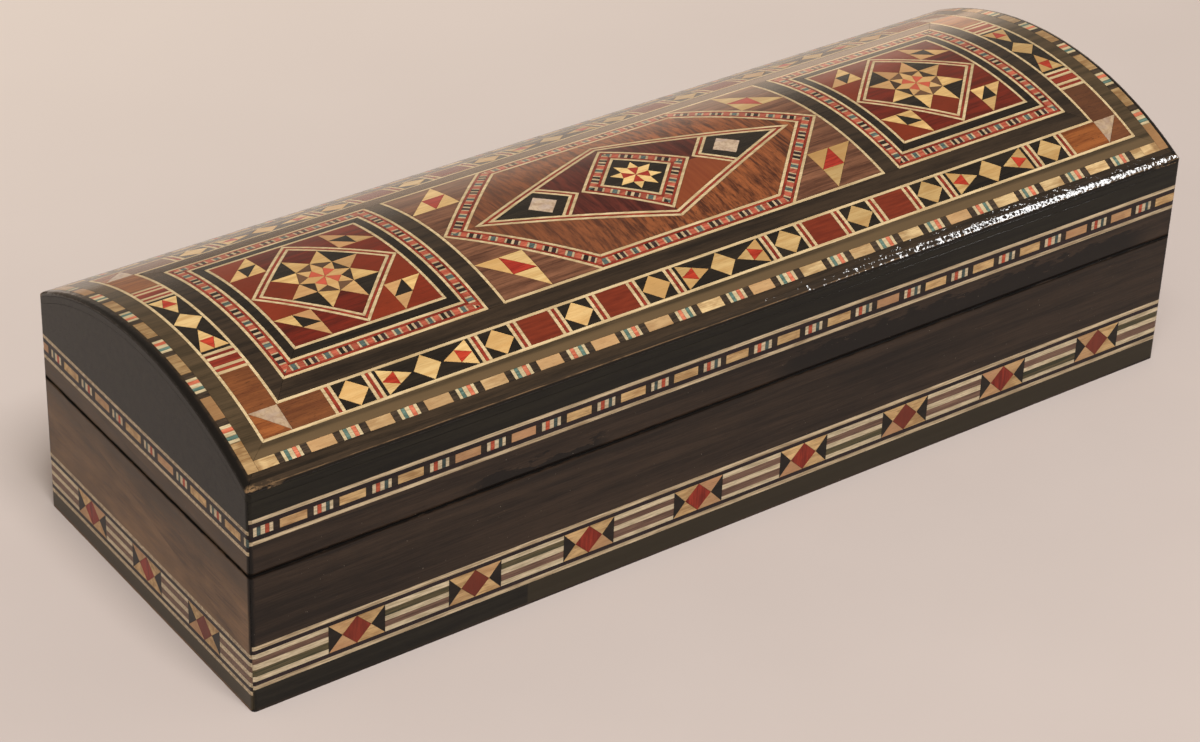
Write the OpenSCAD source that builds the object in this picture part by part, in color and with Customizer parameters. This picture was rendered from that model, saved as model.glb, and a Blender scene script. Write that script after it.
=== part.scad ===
// Long inlaid wooden box with a domed, hinged lid.
// Origin: middle of the underside. X runs along the box, the front faces -Y, Z is up.

/* [Box] */
// Length, left end to right end
box_length = 250; // [225:1:290]
// Depth, front to back
box_depth = 87.5; // [79:0.5:96]
// Height of the tray, from the table to the seam
tray_height = 34.5; // [30:0.5:60]
// Height of the lid's front, from the seam to the edge of the dome
lid_side_height = 20.8; // [19.6:0.1:35]
// Rise of the dome above its front and back edges
dome_rise = 12; // [10:0.5:15]
// Radius on the upright corners
corner_radius = 1; // [0.6:0.1:2]

/* [Boards] */
// Thickness of the upright walls
wall = 7; // [7:0.5:9]
// Thickness of the base board
base_thickness = 4; // [3:0.5:6]
// Thickness of the curved lid board
lid_board_thickness = 2.4; // [2.2:0.1:4]
// Rounding along the front and back edges of the lid's top
rim_rounding = 2.4; // [1:0.1:2.8]
// Rounding along the end edges of the lid's top
end_rounding = 1; // [0.4:0.1:1.4]
// Width of the bevel that eases both edges of the seam
seam_bevel = 0.3; // [0.1:0.1:0.6]

/* [Inlay fit] */
// Depth that the strips and tiles are let into the wood
inlay_depth = 0.8; // [0.6:0.1:1.2]
// Width of the glue joint between two neighbouring pieces
joint = 0.06; // [0.04:0.01:0.12]
// Glue under a curved piece
glue = 0.06; // [0.04:0.01:0.12]
// How far right of the middle the lid's inlay was laid
inlay_shift_right = 0.3; // [0:0.1:0.8]
// How far behind the middle the lid's inlay was laid
inlay_shift_back = 0.5; // [0:0.1:0.8]

/* [Lines and strings] */
// Width of a light stringing line
cream_line = 0.7; // [0.5:0.1:0.9]
// Width of a dark red line
red_line = 0.6; // [0.4:0.1:0.8]
// Width of a ready-made mosaic string
mosaic_string = 1.7; // [1.4:0.1:2]

/* [Lid borders] */
// Width of the dark rim along the front and back
rim_width = 2.95; // [2.2:0.05:3.5]
// Width of the dark rim along the ends
rim_end_width = 1.75; // [1.5:0.05:2.5]
// Width of the outer band of blocks
block_band = 2.5; // [2:0.1:3.2]
// Width of the olive strip along the front and back
olive_long_strip = 3; // [2.5:0.05:4]
// Width of the olive strip along the ends
olive_end_strip = 3.75; // [3:0.05:4.5]
// Width of the tile border
tile_width = 6.7; // [6:0.1:7.2]
// Width of the dark strip along the front and back
dark_long_strip = 4.45; // [3.5:0.05:5]
// Width of the dark strip along the ends
dark_end_strip = 3.75; // [3:0.05:4.5]
// Width of the dark strips between the three panels
dark_cross_strip = 3.9; // [3:0.1:5]

/* [Border tiles] */
// Length of a black tile with a diamond
diamond_tile = 7.3; // [6.8:0.1:7.6]
// Length of a plain red tile
red_tile = 8; // [7:0.1:8.4]
// Length of a black tile with a diamond between two triangles
long_tile = 23.4; // [22:0.1:24]
// Gap between the diamond and the triangles of a long tile
diamond_gap = 0.5; // [0.3:0.1:1]
// Black bar at each end of a long tile
tile_end_bar = 0.75; // [0.5:0.05:1]
// Width of each of the three lines between two tiles
divider_line = 0.8; // [0.6:0.05:0.9]
// Least length of the brown block that fills a long border up to its corner
least_block = 5; // [3:0.5:9]
// Width of the thick red bar in the end borders
red_bar = 2; // [1.5:0.1:2.5]

/* [Panels] */
// Width of the black ring in a side panel
black_ring = 2.1; // [1.5:0.1:2.5]
// Notch radius of a star as a part of its tip radius
star_notch = 0.56; // [0.5:0.01:0.62]
// Gap between the medallion's long rhombus and its hexagon, at the tips
rhombus_gap = 1.9; // [1:0.1:3]
// Gap between the medallion's long rhombus and its hexagon, at the sides
rhombus_side_gap = 2.9; // [2:0.1:4]
// Gap between the corners of the medallion's square and the rhombus
square_gap = 0.8; // [0.4:0.1:1.5]
// Gap between the square's corner and the lines that cross beside it
cross_gap = 0.5; // [0.3:0.1:1]
// Gap between a pearl square and the crossing lines
pearl_gap = 3.1; // [2.5:0.1:3.5]
// Gap between a pearl square's side corners and the rhombus
pearl_side_gap = 1.4; // [1:0.1:2]
// Gap between the tips of the medallion's star and its frame
star_gap = 0.7; // [0.5:0.1:1.5]

/* [Bands on the sides] */
// Bare wood under the dark strip at the foot of the tray
foot_height = 0.6; // [0.4:0.1:1.5]
// Height of the tray band's lower edge on the front and back
tray_band_height = 5.7; // [4:0.1:9]
// Width of the tray band on the front and back
tray_band_width = 11; // [9:0.1:12]
// Height of the tray band's lower edge on the ends
tray_end_band_height = 4.2; // [3.5:0.1:9]
// Width of the tray band on the ends
tray_end_band_width = 10.4; // [9:0.1:12]
// Light line along each edge of the tray band
tray_cream_line = 1; // [0.6:0.1:1.2]
// Dark line beside each light line of the tray band
tray_dark_line = 1; // [0.5:0.1:1.1]
// Height of the lid band's lower edge above the seam on the front and back
lid_band_height = 7.5; // [5:0.1:7.6]
// Width of the lid band on the front and back
lid_band_width = 6.2; // [5.5:0.1:7.2]
// Height of the lid band's lower edge above the seam on the ends
lid_end_band_height = 5; // [4:0.1:7.6]
// Width of the lid band on the ends
lid_end_band_width = 6; // [5.5:0.1:7.2]
// Light line along each edge of the lid band
lid_cream_line = 0.9; // [0.5:0.1:1]
// Dark line beside each light line of the lid band
lid_dark_line = 1.1; // [0.5:0.1:1.3]

/* [Lining] */
// Thickness of the velvet
velvet = 1; // [0.6:0.1:2]
// Bare wood left above the tray's velvet and below the lid's
velvet_margin = 2.5; // [1:0.5:5]

/* [Hinges] */
// Distance from each end of the box to the nearest hinge
hinge_inset = 35; // [15:1:60]
// Length of a hinge
hinge_length = 20; // [16:0.5:26]
// Reach of a leaf from the pin's axis
leaf_reach = 6; // [5.2:0.1:6.2]
// Gap around a leaf in its recess
leaf_gap = 0.1; // [0.05:0.05:0.2]
// Thickness of a leaf
leaf_thickness = 0.6; // [0.5:0.1:0.8]
// Outer radius of a knuckle
knuckle_radius = 1.3; // [1.1:0.05:1.4]
// Radius of the pin
pin_radius = 0.6; // [0.4:0.05:0.7]
// Running clearance around the pin
pin_clearance = 0.05; // [0.02:0.01:0.09]
// Gap between two knuckles, end to end
knuckle_gap = 0.2; // [0.1:0.05:0.4]
// Free space around a knuckle
knuckle_clearance = 0.35; // [0.3:0.05:0.5]
// How far the pin's axis stands behind the back of the box
pin_stand_off = 0.3; // [0.1:0.1:0.8]
// Distance between a leaf's two nails
nail_spacing = 12.4; // [11:0.1:14]
// Distance from the pin's axis to a nail
nail_inset = 4; // [3.6:0.1:4.2]
// Radius of a nail's head
nail_head_radius = 0.9; // [0.7:0.05:1]
// Thickness of a nail's head
nail_head = 0.3; // [0.2:0.05:0.4]
// Radius of a nail's shank
nail_radius = 0.45; // [0.3:0.05:0.5]
// Length of a nail
nail_length = 4.5; // [3:0.5:6]
// Play around a nail
nail_play = 0.02; // [0.01:0.01:0.05]

/* [Hidden] */
$fn = 96;
// Facets of the large dome cylinder
dome_facets = 360;
// How far a cut runs past the faces that it opens
past = 1;
half_length = box_length / 2;
half_depth = box_depth / 2;
plan = [half_length, half_depth];
inner_plan = plan - [wall, wall];

// The dome is part of a cylinder that lies along X
dome_radius = (half_depth * half_depth + dome_rise * dome_rise) / (2 * dome_rise);
box_height = tray_height + lid_side_height + dome_rise;
dome_axis_height = box_height - dome_radius;
dome_half_arc = dome_radius * asin(half_depth / dome_radius) * PI / 180;
board_inner_radius = dome_radius - lid_board_thickness;
wall_top_radius = board_inner_radius - glue;
lining_radius = wall_top_radius - velvet;

// Flat layout of the lid's inlay: X along the box, Y along the arc, both from the middle
block_outer = [half_length - rim_end_width, dome_half_arc - rim_width];
olive_outer = block_outer - [block_band, block_band];
border_outer = olive_outer - [olive_end_strip, olive_long_strip];
tile_outer = border_outer - [cream_line, cream_line];
tile_inner = tile_outer - [tile_width, tile_width];
strip_outer = tile_inner - [cream_line, cream_line];
panel_outer = strip_outer - [dark_end_strip, dark_long_strip];
panel_half = panel_outer.y;
side_panel_middle = panel_outer.x - panel_half;
medallion_half = panel_outer.x - 2 * panel_half - dark_cross_strip;

// Edges of a framed string, counted inwards: cream, red, mosaic, red, cream
string_start = cream_line + red_line;
string_end = string_start + mosaic_string;
frame_inner_line = string_end + red_line;
frame_width = frame_inner_line + cream_line;
triple_line = 2 * cream_line + red_line;

// Side panel
side_panel = centred_square(panel_half);
ring_end = frame_width + black_ring;
field_half = panel_half - ring_end - cream_line;
field_square = diamond(field_half, field_half);
star_field_half = field_half - triple_line * sqrt(2);
octagon_radius = star_field_half / (1 + sqrt(2));
octagon_tip_radius = 2 * octagon_radius * cos(22.5);

// Medallion
hexagon_tip = medallion_half - cream_line;
hexagon_shoulder = hexagon_tip - panel_half;
hexagon_rise = panel_half - cream_line;
hexagon = hexagon_outline(hexagon_tip, hexagon_shoulder, panel_half);
field_hexagon = inset(hexagon, frame_width);
rhombus_tip = hexagon_tip - frame_width * sqrt(2) - rhombus_gap;
rhombus = diamond(rhombus_tip, panel_half - frame_width - rhombus_side_gap);
inner_rhombus = inset(rhombus, triple_line);
inner_tip = inner_rhombus[0].x;
inner_half_height = inner_rhombus[1].y;
square_half = inner_half_height - square_gap;
square = diamond(square_half, square_half);
square_ground = inset(square, frame_width);
medallion_star = (square_half / sqrt(2) - frame_width) / cos(22.5) - star_gap;
cross_reach = square_half + cross_gap;
kite_end = cross_reach + triple_line * sqrt(2);
pearl_start = kite_end + pearl_gap;
pearl_half = (inner_half_height * (1 - pearl_start / inner_tip) - pearl_side_gap)
    / (1 + inner_half_height / inner_tip);
pearl_middle = pearl_start + pearl_half;
pearl_square = moved(diamond(pearl_half, pearl_half), [pearl_middle, 0]);
medallion_corner = [[hexagon_tip, hexagon_rise], [hexagon_tip, 0],
                    [hexagon_tip - hexagon_rise, hexagon_rise]];

// Long tile
tile_half = tile_width / 2;
triangle_base = long_tile / 2 - tile_end_bar;
triangle_apex = tile_half + diamond_gap;
long_triangle = [[triangle_base, -tile_half], [triangle_base, tile_half], [triangle_apex, 0]];

// Order of the tiles outwards from the middle of a long border, which repeats after a long tile
border_order = ["diamond", "red", "diamond", "red", "diamond", "long"];
divider = 3 * divider_line;
tile_count = tiles_before(tile_inner.x - least_block);
// Far edges of the dividers, counted from the middle of each border
long_border_dividers = [for (i = [0 : tile_count]) tile_start(i)];
end_border_dividers = [long_tile / 2 + divider, long_tile / 2 + 2 * divider + red_bar];
brown_start_long = tile_start(tile_count);
brown_start_end = end_border_dividers[1];

// Hinges
pin_y = half_depth + pin_stand_off;
hinge_middle = half_length - hinge_inset - hinge_length / 2;
knuckle_length = (hinge_length - 2 * knuckle_gap) / 3;
knuckle_space = knuckle_radius + knuckle_clearance;

// Directions of the four sides: front, back, left end, right end
FRONT = [0, -1];
BACK = [0, 1];
LEFT = [-1, 0];
RIGHT = [1, 0];
SIDES = [FRONT, BACK, LEFT, RIGHT];

// Colours of the plain model
dark_wood = [0.27, 0.22, 0.18];
near_black = [0.15, 0.13, 0.11];
olive_wood = [0.36, 0.33, 0.24];
brown_wood = [0.49, 0.3, 0.18];
red_wood = [0.45, 0.12, 0.08];
light_wood = [0.85, 0.74, 0.5];
velvet_red = [0.45, 0.05, 0.08];
brass = [0.75, 0.6, 0.3];
shell = [0.85, 0.83, 0.78];

// ---------- Flat outlines ----------

function diamond(half_x, half_y) = [[half_x, 0], [0, half_y], [-half_x, 0], [0, -half_y]];
function rectangle(low, high) = [low, [high.x, low.y], high, [low.x, high.y]];
function centred_square(half) = rectangle([-half, -half], [half, half]);
function hexagon_outline(tip, shoulder, rise) =
    [[tip, 0], [shoulder, rise], [-shoulder, rise], [-tip, 0], [-shoulder, -rise], [shoulder, -rise]];
function polar(radius, angle) = radius * [cos(angle), sin(angle)];
function flipped(outline, signs) = [for (p = outline) [p.x * signs.x, p.y * signs.y]];
function moved(outline, offset) = [for (p = outline) p + offset];
function all_moved(outlines, offset) = [for (o = outlines) moved(o, offset)];
function in_halves(outlines) = [for (s = [-1, 1], o = outlines) flipped(o, [s, 1])];
function in_quarters(outlines) = [for (sx = [-1, 1], sy = [-1, 1], o = outlines) flipped(o, [sx, sy])];

// Twice the signed area, which tells which way an outline runs
function turning(p) = let (n = len(p))
    [for (i = [0 : n - 1]) cross(p[i], p[(i + 1) % n])] * [for (i = [0 : n - 1]) 1];
function unit(v) = v / norm(v);

// An outline pulled inwards by a distance along each of its edges
function inset(p, distance) = let (n = len(p), way = sign(turning(p)))
    [for (i = [0 : n - 1])
        let (before = unit(p[i] - p[(i + n - 1) % n]),
             after = unit(p[(i + 1) % n] - p[i]),
             inward_before = way * [-before.y, before.x],
             inward_after = way * [-after.y, after.x])
        p[i] + distance * (inward_before + inward_after) / (1 + inward_before * inward_after)];

// The mitred pieces of a frame between two distances inside an outline
function framed(p, start, end) = let (outer = inset(p, start), inner = inset(p, end), n = len(p))
    [for (i = [0 : n - 1]) let (j = (i + 1) % n) [outer[i], outer[j], inner[j], inner[i]]];

// The mitred strips between two rectangles that are given by their half sizes
function ring(outer, inner) = concat(
    [for (s = [-1, 1])
        [[-outer.x, s * outer.y], [outer.x, s * outer.y], [inner.x, s * inner.y], [-inner.x, s * inner.y]]],
    [for (s = [-1, 1])
        [[s * outer.x, -outer.y], [s * outer.x, outer.y], [s * inner.x, inner.y], [s * inner.x, -inner.y]]]);

// A triangle with the corners of its sides' middles, and the three triangles around that heart
function heart(t) = [(t[0] + t[1]) / 2, (t[1] + t[2]) / 2, (t[2] + t[0]) / 2];
function around_heart(t) = [for (i = [0 : 2])
    [t[i], (t[i] + t[(i + 1) % 3]) / 2, (t[i] + t[(i + 2) % 3]) / 2]];

// ---------- From the flat layout to the dome ----------

longest_step = 8;
function steps_along(a, b) = max(1, ceil(abs(b.y - a.y) / longest_step));

// Long slanting edges get extra points, so that they follow the arc
function followed(p) = let (n = len(p))
    [for (i = [0 : n - 1])
        let (a = p[i], b = p[(i + 1) % n], steps = steps_along(a, b))
        for (k = [0 : steps - 1]) a + (b - a) * k / steps];
function across(arc) = dome_radius * sin(arc / dome_radius * 180 / PI);
function laid(p) = [for (q = followed(p)) [q.x + inlay_shift_right, across(q.y + inlay_shift_back)]];

module dome_cylinder(radius, length = box_length) {
    translate([0, 0, dome_axis_height])
        rotate([0, 90, 0])
            cylinder(r = radius, h = length, center = true, $fn = dome_facets);
}

// Curved pieces, one for each flat outline, less any holes
module veneer(outlines, holes = []) {
    intersection() {
        difference() {
            dome_cylinder(dome_radius);
            dome_cylinder(dome_radius - inlay_depth, box_length + 2 * past);
        }
        linear_extrude(height = box_height + past)
            difference() {
                union()
                    for (o = outlines)
                        polygon(laid(inset(o, joint / 2)));
                for (h = holes)
                    polygon(laid(inset(h, -joint / 2)));
            }
    }
}

// ---------- Stars ----------

function star_tip(radius, k, turn) = polar(radius, 45 * k + turn);
function star_hollow(radius, k, turn) = polar(radius * star_notch, 45 * k + 22.5 + turn);
function star_outline(radius, turn) =
    [for (k = [0 : 7]) each [star_tip(radius, k, turn), star_hollow(radius, k, turn)]];
// Every other point is one light kite, and the points between have a dark heart and a light end
function star_kites(radius, turn) = [for (k = [0 : 2 : 7])
    [[0, 0], star_hollow(radius, k - 1, turn), star_tip(radius, k, turn), star_hollow(radius, k, turn)]];
function star_ends(radius, turn) = [for (k = [1 : 2 : 7])
    [star_hollow(radius, k - 1, turn), star_tip(radius, k, turn), star_hollow(radius, k, turn)]];
function star_hearts(radius, turn) = [for (k = [1 : 2 : 7])
    [[0, 0], star_hollow(radius, k - 1, turn), star_hollow(radius, k, turn)]];
function between_points(radius) = [for (k = [0 : 7])
    [star_tip(radius, k, 0), star_hollow(radius, k, 0), star_tip(radius, k + 1, 0)]];

// ---------- Side panels ----------

function on_side_panels(outlines) =
    [for (s = [-1, 1]) each all_moved(outlines, [s * side_panel_middle, 0])];
field_corner = [[field_half, field_half], [field_half, 0], [0, field_half]];
function octagon_corner(k) = polar(octagon_radius, 45 * k);
function octagon_tip(k) = polar(octagon_tip_radius, 45 * k + 22.5);
octagon_triangles = [for (k = [0 : 7]) [octagon_corner(k), octagon_tip(k), octagon_corner(k + 1)]];
middle_triangles = [for (k = [1 : 2 : 7]) [octagon_corner(k), octagon_tip(k), octagon_tip(k - 1)]];
corner_squares = [for (k = [0 : 2 : 7])
    [octagon_corner(k), octagon_tip(k), polar(star_field_half, 45 * k), octagon_tip(k - 1)]];

// ---------- Medallion ----------

// Where a line that leaves the long axis at 45 degrees meets the rhombus
function crossing(start) = let (x = (1 + start / inner_half_height) / (1 / inner_tip + 1 / inner_half_height))
    [x, x - start];
function cross_arm(from, to) = let (a = cross_reach + from * sqrt(2), b = cross_reach + to * sqrt(2))
    [[a, 0], crossing(a), crossing(b), [b, 0]];
slant_width = cream_line * sqrt(2);
hexagon_slant = [[hexagon_tip, 0], [hexagon_tip - hexagon_rise, hexagon_rise],
                 [hexagon_tip - hexagon_rise - slant_width, hexagon_rise], [hexagon_tip - slant_width, 0]];
upper_field = [field_hexagon[0], field_hexagon[1], field_hexagon[2], field_hexagon[3]];
kite = [[kite_end, 0], crossing(kite_end), [inner_tip, 0], flipped([crossing(kite_end)], [1, -1])[0]];
red_corner = [[square_half, 0], [cross_reach, 0], crossing(cross_reach),
              [0, inner_half_height], [0, square_half]];
medallion = rectangle([-medallion_half, -panel_half], [medallion_half, panel_half]);

// ---------- Border tiles: X along the border from its middle, Y outwards from the tiles' middle ----------

function tile_kind(i) = border_order[i % len(border_order)];
function tile_length(kind) = kind == "diamond" ? diamond_tile : kind == "red" ? red_tile : long_tile;
function tile_start(i) = i == 0 ? long_tile / 2 + divider
    : tile_start(i - 1) + tile_length(tile_kind(i - 1)) + divider;
// How many tiles fit between the middle one and a limit
function tiles_before(limit, i = 0) = tile_start(i + 1) > limit ? i : tiles_before(limit, i + 1);
function tile_middles(kind) = [for (i = [0 : tile_count - 1])
    if (tile_kind(i) == kind) tile_start(i) + tile_length(kind) / 2];
function in_tiles(kind, outlines) =
    [for (s = [-1, 1], m = tile_middles(kind)) each all_moved(outlines, [s * m, 0])];
function tile_strip(from, to) = rectangle([from, -tile_half], [to, tile_half]);

diamond_tile_ground = in_quarters([[[diamond_tile / 2, tile_half], [0, tile_half], [diamond_tile / 2, 0]]]);
diamond_tile_diamond = [diamond(diamond_tile / 2, tile_half)];
long_tile_ground = in_halves([
    [[0, tile_half], [tile_half, 0], [0, -tile_half], [triangle_base, -tile_half], [triangle_apex, 0],
     [triangle_base, tile_half]],
    tile_strip(triangle_base, long_tile / 2),
]);
long_tile_lights = concat([diamond(tile_half, tile_half)], in_halves(around_heart(long_triangle)));
long_tile_hearts = in_halves([heart(long_triangle)]);

function divider_strips(dividers, from, to) =
    in_halves([for (d = dividers) tile_strip(d - divider + from, d - divider + to)]);

// Outlines of a border copied to the front and back, or to both ends
function on_long_borders(outlines) = [for (s = [-1, 1], o = outlines)
    [for (p = o) [p.x, s * (tile_inner.y + tile_half + p.y)]]];
function on_end_borders(outlines) = [for (s = [-1, 1], o = outlines)
    [for (p = o) [s * (tile_inner.x + tile_half + p.y), p.x]]];
// Outlines for every long tile: the middle one and its two neighbours, and one on each end border
function in_long_tiles(outlines) = concat(
    on_long_borders(concat(outlines, in_tiles("long", outlines))), on_end_borders(outlines));

// ---------- Plans of the walls ----------

module full_plan() {
    square([box_length - 2 * corner_radius, box_depth], center = true);
    square([box_length, box_depth - 2 * corner_radius], center = true);
    for (sx = [-1, 1], sy = [-1, 1])
        translate([sx * (half_length - corner_radius), sy * (half_depth - corner_radius)])
            circle(r = corner_radius);
}

// The part of the plan that one side owns, out to its two mitres
module side_quarter(side) {
    gap = joint / sqrt(2);
    near = half_length - half_depth;
    reach = half_depth + past;
    long_end = near - gap;
    short_start = near + gap;
    if (side.x == 0)
        polygon(flipped([[-long_end, 0], [long_end, 0],
                         [long_end + reach, reach], [-long_end - reach, reach]],
                        [1, side.y]));
    else
        polygon(flipped([[short_start, 0], [short_start + reach, reach], [short_start + reach, -reach]],
                        [side.x, 1]));
}

module wall_plan(side) {
    intersection() {
        difference() {
            full_plan();
            square(2 * inner_plan, center = true);
        }
        side_quarter(side);
    }
}

// The outer skin of one side, as deep as the strips are let in
module skin_plan(side) {
    intersection() {
        difference() {
            full_plan();
            square(2 * (plan - [inlay_depth, inlay_depth]), center = true);
        }
        side_quarter(side);
    }
}

// Everything outside the bottom of the rebates of one side
module rebate_plan(side) {
    intersection() {
        difference() {
            square(2 * (plan + [2 * past, 2 * past]), center = true);
            square(2 * (plan - [inlay_depth, inlay_depth]), center = true);
        }
        side_quarter(side);
    }
}

module lining_plan(side) {
    intersection() {
        difference() {
            square(2 * inner_plan, center = true);
            square(2 * (inner_plan - [velvet, velvet]), center = true);
        }
        side_quarter(side);
    }
}

module between(low, high) {
    translate([0, 0, low])
        linear_extrude(height = high - low)
            children();
}

// ---------- Bands on the sides ----------

function tray_band_low(side) = side.x == 0 ? tray_band_height : tray_end_band_height;
function tray_band_high(side) = tray_band_low(side) + (side.x == 0 ? tray_band_width : tray_end_band_width);
function lid_band_low(side) = tray_height + (side.x == 0 ? lid_band_height : lid_end_band_height);
function lid_band_high(side) = lid_band_low(side) + (side.x == 0 ? lid_band_width : lid_end_band_width);

module line_pair(side, low, high, start, end) {
    between(low + start, low + end) skin_plan(side);
    between(high - end, high - start) skin_plan(side);
}

// ---------- Cuts at the seam ----------

module seam_bevels() {
    size = seam_bevel * sqrt(2);
    for (s = [-1, 1]) {
        translate([0, s * half_depth, tray_height])
            rotate([45, 0, 0])
                cube([box_length + 2 * past, size, size], center = true);
        translate([s * half_length, 0, tray_height])
            rotate([0, 45, 0])
                cube([size, box_depth + 2 * past, size], center = true);
    }
}

module at_hinge(side) {
    translate([side * hinge_middle, pin_y, tray_height])
        children();
}

module at_hinges() {
    for (side = [-1, 1])
        at_hinge(side) children();
}

// A round bar along X around the pin's axis, between two places
module pin_bar(radius, from, to) {
    translate([from, 0, 0])
        rotate([0, 90, 0])
            cylinder(r = radius, h = to - from);
}

// up is 1 for the lid's side of the seam and -1 for the tray's
module leaf_recess(up) {
    half = hinge_length / 2 + leaf_gap;
    translate([-half, -leaf_reach - leaf_gap, up > 0 ? -past : -leaf_thickness])
        cube([2 * half, leaf_reach + leaf_gap, leaf_thickness + past]);
    pin_bar(knuckle_space, -half, half);
}

module nail_places(up) {
    for (s = [-1, 1])
        translate([s * nail_spacing / 2, -nail_inset, 0])
            rotate([up > 0 ? 180 : 0, 0, 0])
                children();
}

// A nail whose flat head lies level with the origin, or the hole for one
module nail(play = 0) {
    translate([0, 0, -nail_head])
        cylinder(r = nail_head_radius + play, h = nail_head + play);
    translate([0, 0, -nail_length - play])
        cylinder(r = nail_radius + play, h = nail_length);
}

module hinge_cuts(up) {
    at_hinges() {
        leaf_recess(up);
        nail_places(up) nail(nail_play);
    }
}

// ---------- Tray ----------

module base_board() {
    color(brown_wood)
        between(0, base_thickness)
            square(2 * (inner_plan - [joint, joint]), center = true);
}

module tray_wall(side) {
    color(dark_wood)
        difference() {
            between(0, tray_height) wall_plan(side);
            between(foot_height, tray_band_high(side)) rebate_plan(side);
            seam_bevels();
            if (side == BACK)
                hinge_cuts(-1);
        }
}
module tray_front_wall() { tray_wall(FRONT); }
module tray_back_wall() { tray_wall(BACK); }
module tray_left_wall() { tray_wall(LEFT); }
module tray_right_wall() { tray_wall(RIGHT); }

module plinth_strips() {
    color(near_black)
        for (side = SIDES)
            between(foot_height, tray_band_low(side)) skin_plan(side);
}

module tray_cream_lines() {
    color(light_wood)
        for (side = SIDES)
            line_pair(side, tray_band_low(side), tray_band_high(side), 0, tray_cream_line);
}

module tray_dark_lines() {
    color(near_black)
        for (side = SIDES)
            line_pair(side, tray_band_low(side), tray_band_high(side),
                      tray_cream_line, tray_cream_line + tray_dark_line);
}

module tray_pattern_strips() {
    edge = tray_cream_line + tray_dark_line;
    color(light_wood)
        for (side = SIDES)
            between(tray_band_low(side) + edge, tray_band_high(side) - edge) skin_plan(side);
}

module tray_floor_lining() {
    color(velvet_red)
        between(base_thickness, base_thickness + velvet)
            square(2 * (inner_plan - [joint, joint]), center = true);
}

module tray_wall_linings() {
    color(velvet_red)
        for (side = SIDES)
            between(base_thickness + velvet, tray_height - velvet_margin) lining_plan(side);
}

// ---------- Hinges ----------

module tray_leaf(side) {
    color(brass)
        at_hinge(side)
            difference() {
                union() {
                    translate([-hinge_length / 2, -leaf_reach, -leaf_thickness])
                        cube([hinge_length, leaf_reach, leaf_thickness]);
                    for (s = [0, 1])
                        mirror([s, 0, 0])
                            pin_bar(knuckle_radius, knuckle_length / 2 + knuckle_gap, hinge_length / 2);
                }
                pin_bar(knuckle_space, -knuckle_length / 2 - knuckle_gap, knuckle_length / 2 + knuckle_gap);
                pin_bar(pin_radius, -hinge_length, hinge_length);
                nail_places(-1) nail(nail_play);
            }
}
module left_hinge_tray_leaf() { tray_leaf(-1); }
module right_hinge_tray_leaf() { tray_leaf(1); }

module lid_leaf(side) {
    color(brass)
        at_hinge(side)
            difference() {
                union() {
                    difference() {
                        translate([-hinge_length / 2, -leaf_reach, 0])
                            cube([hinge_length, leaf_reach, leaf_thickness]);
                        pin_bar(knuckle_space, -hinge_length, hinge_length);
                    }
                    intersection() {
                        union() {
                            pin_bar(knuckle_radius, -hinge_length, hinge_length);
                            translate([-hinge_length / 2, -leaf_reach, 0])
                                cube([hinge_length, leaf_reach, leaf_thickness]);
                        }
                        translate([-knuckle_length / 2, -leaf_reach, -knuckle_radius])
                            cube([knuckle_length, leaf_reach + knuckle_radius, 2 * knuckle_radius]);
                    }
                }
                pin_bar(pin_radius + pin_clearance, -hinge_length, hinge_length);
                nail_places(1) nail(nail_play);
            }
}
module left_hinge_lid_leaf() { lid_leaf(-1); }
module right_hinge_lid_leaf() { lid_leaf(1); }

module hinge_pins() {
    color(brass)
        at_hinges()
            pin_bar(pin_radius, -hinge_length / 2, hinge_length / 2);
}

module tray_hinge_nails() {
    color(brass)
        at_hinges()
            nail_places(-1) nail();
}

module lid_hinge_nails() {
    color(brass)
        at_hinges()
            nail_places(1) nail();
}

// ---------- Lid ----------

// The dome's section, rounded where it meets the front and the back
module board_section() {
    middle_y = half_depth - rim_rounding;
    center = [middle_y, dome_axis_height + sqrt(pow(dome_radius - rim_rounding, 2) - pow(middle_y, 2))];
    outwards = unit(center - [0, dome_axis_height]) * (rim_rounding + past);
    sideways = [rim_rounding + past, 0];
    difference() {
        translate([-half_depth, tray_height])
            square([box_depth, lid_side_height + dome_rise + past]);
        for (s = [-1, 1])
            difference() {
                polygon(flipped([center, center + sideways, center + sideways + outwards, center + outwards],
                                [s, 1]));
                translate([s * center.x, center.y])
                    circle(r = rim_rounding);
            }
    }
}

// The curved board's profile along the box, rounded at both ends
module board_profile() {
    translate([dome_radius / 2, -half_length])
        square([dome_radius / 2 - end_rounding, box_length]);
    translate([dome_radius / 2, end_rounding - half_length])
        square([dome_radius / 2, box_length - 2 * end_rounding]);
    for (s = [-1, 1])
        translate([dome_radius - end_rounding, s * (half_length - end_rounding)])
            circle(r = end_rounding);
}

// The whole thickness of the lid's top with its rounded rim, from one radius to another
module dome_shell(inner, outer) {
    intersection() {
        translate([0, 0, dome_axis_height])
            rotate([0, 90, 0])
                rotate_extrude($fn = dome_facets)
                    board_profile();
        rotate([90, 0, 90])
            linear_extrude(height = box_length + 2 * past, center = true)
                board_section();
        between(tray_height, box_height + past) full_plan();
        difference() {
            dome_cylinder(outer, box_length + 2 * past);
            dome_cylinder(inner, box_length + 3 * past);
        }
    }
}

module lid_board() {
    color(olive_wood)
        dome_shell(board_inner_radius, dome_radius - inlay_depth - glue);
}

module top_rim_strips() {
    color(near_black)
        intersection() {
            dome_shell(dome_radius - inlay_depth, dome_radius + past);
            between(tray_height, box_height + 2 * past)
                difference() {
                    union()
                        for (side = SIDES)
                            side_quarter(side);
                    polygon(laid(rectangle(-block_outer, block_outer)));
                }
        }
}

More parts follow.
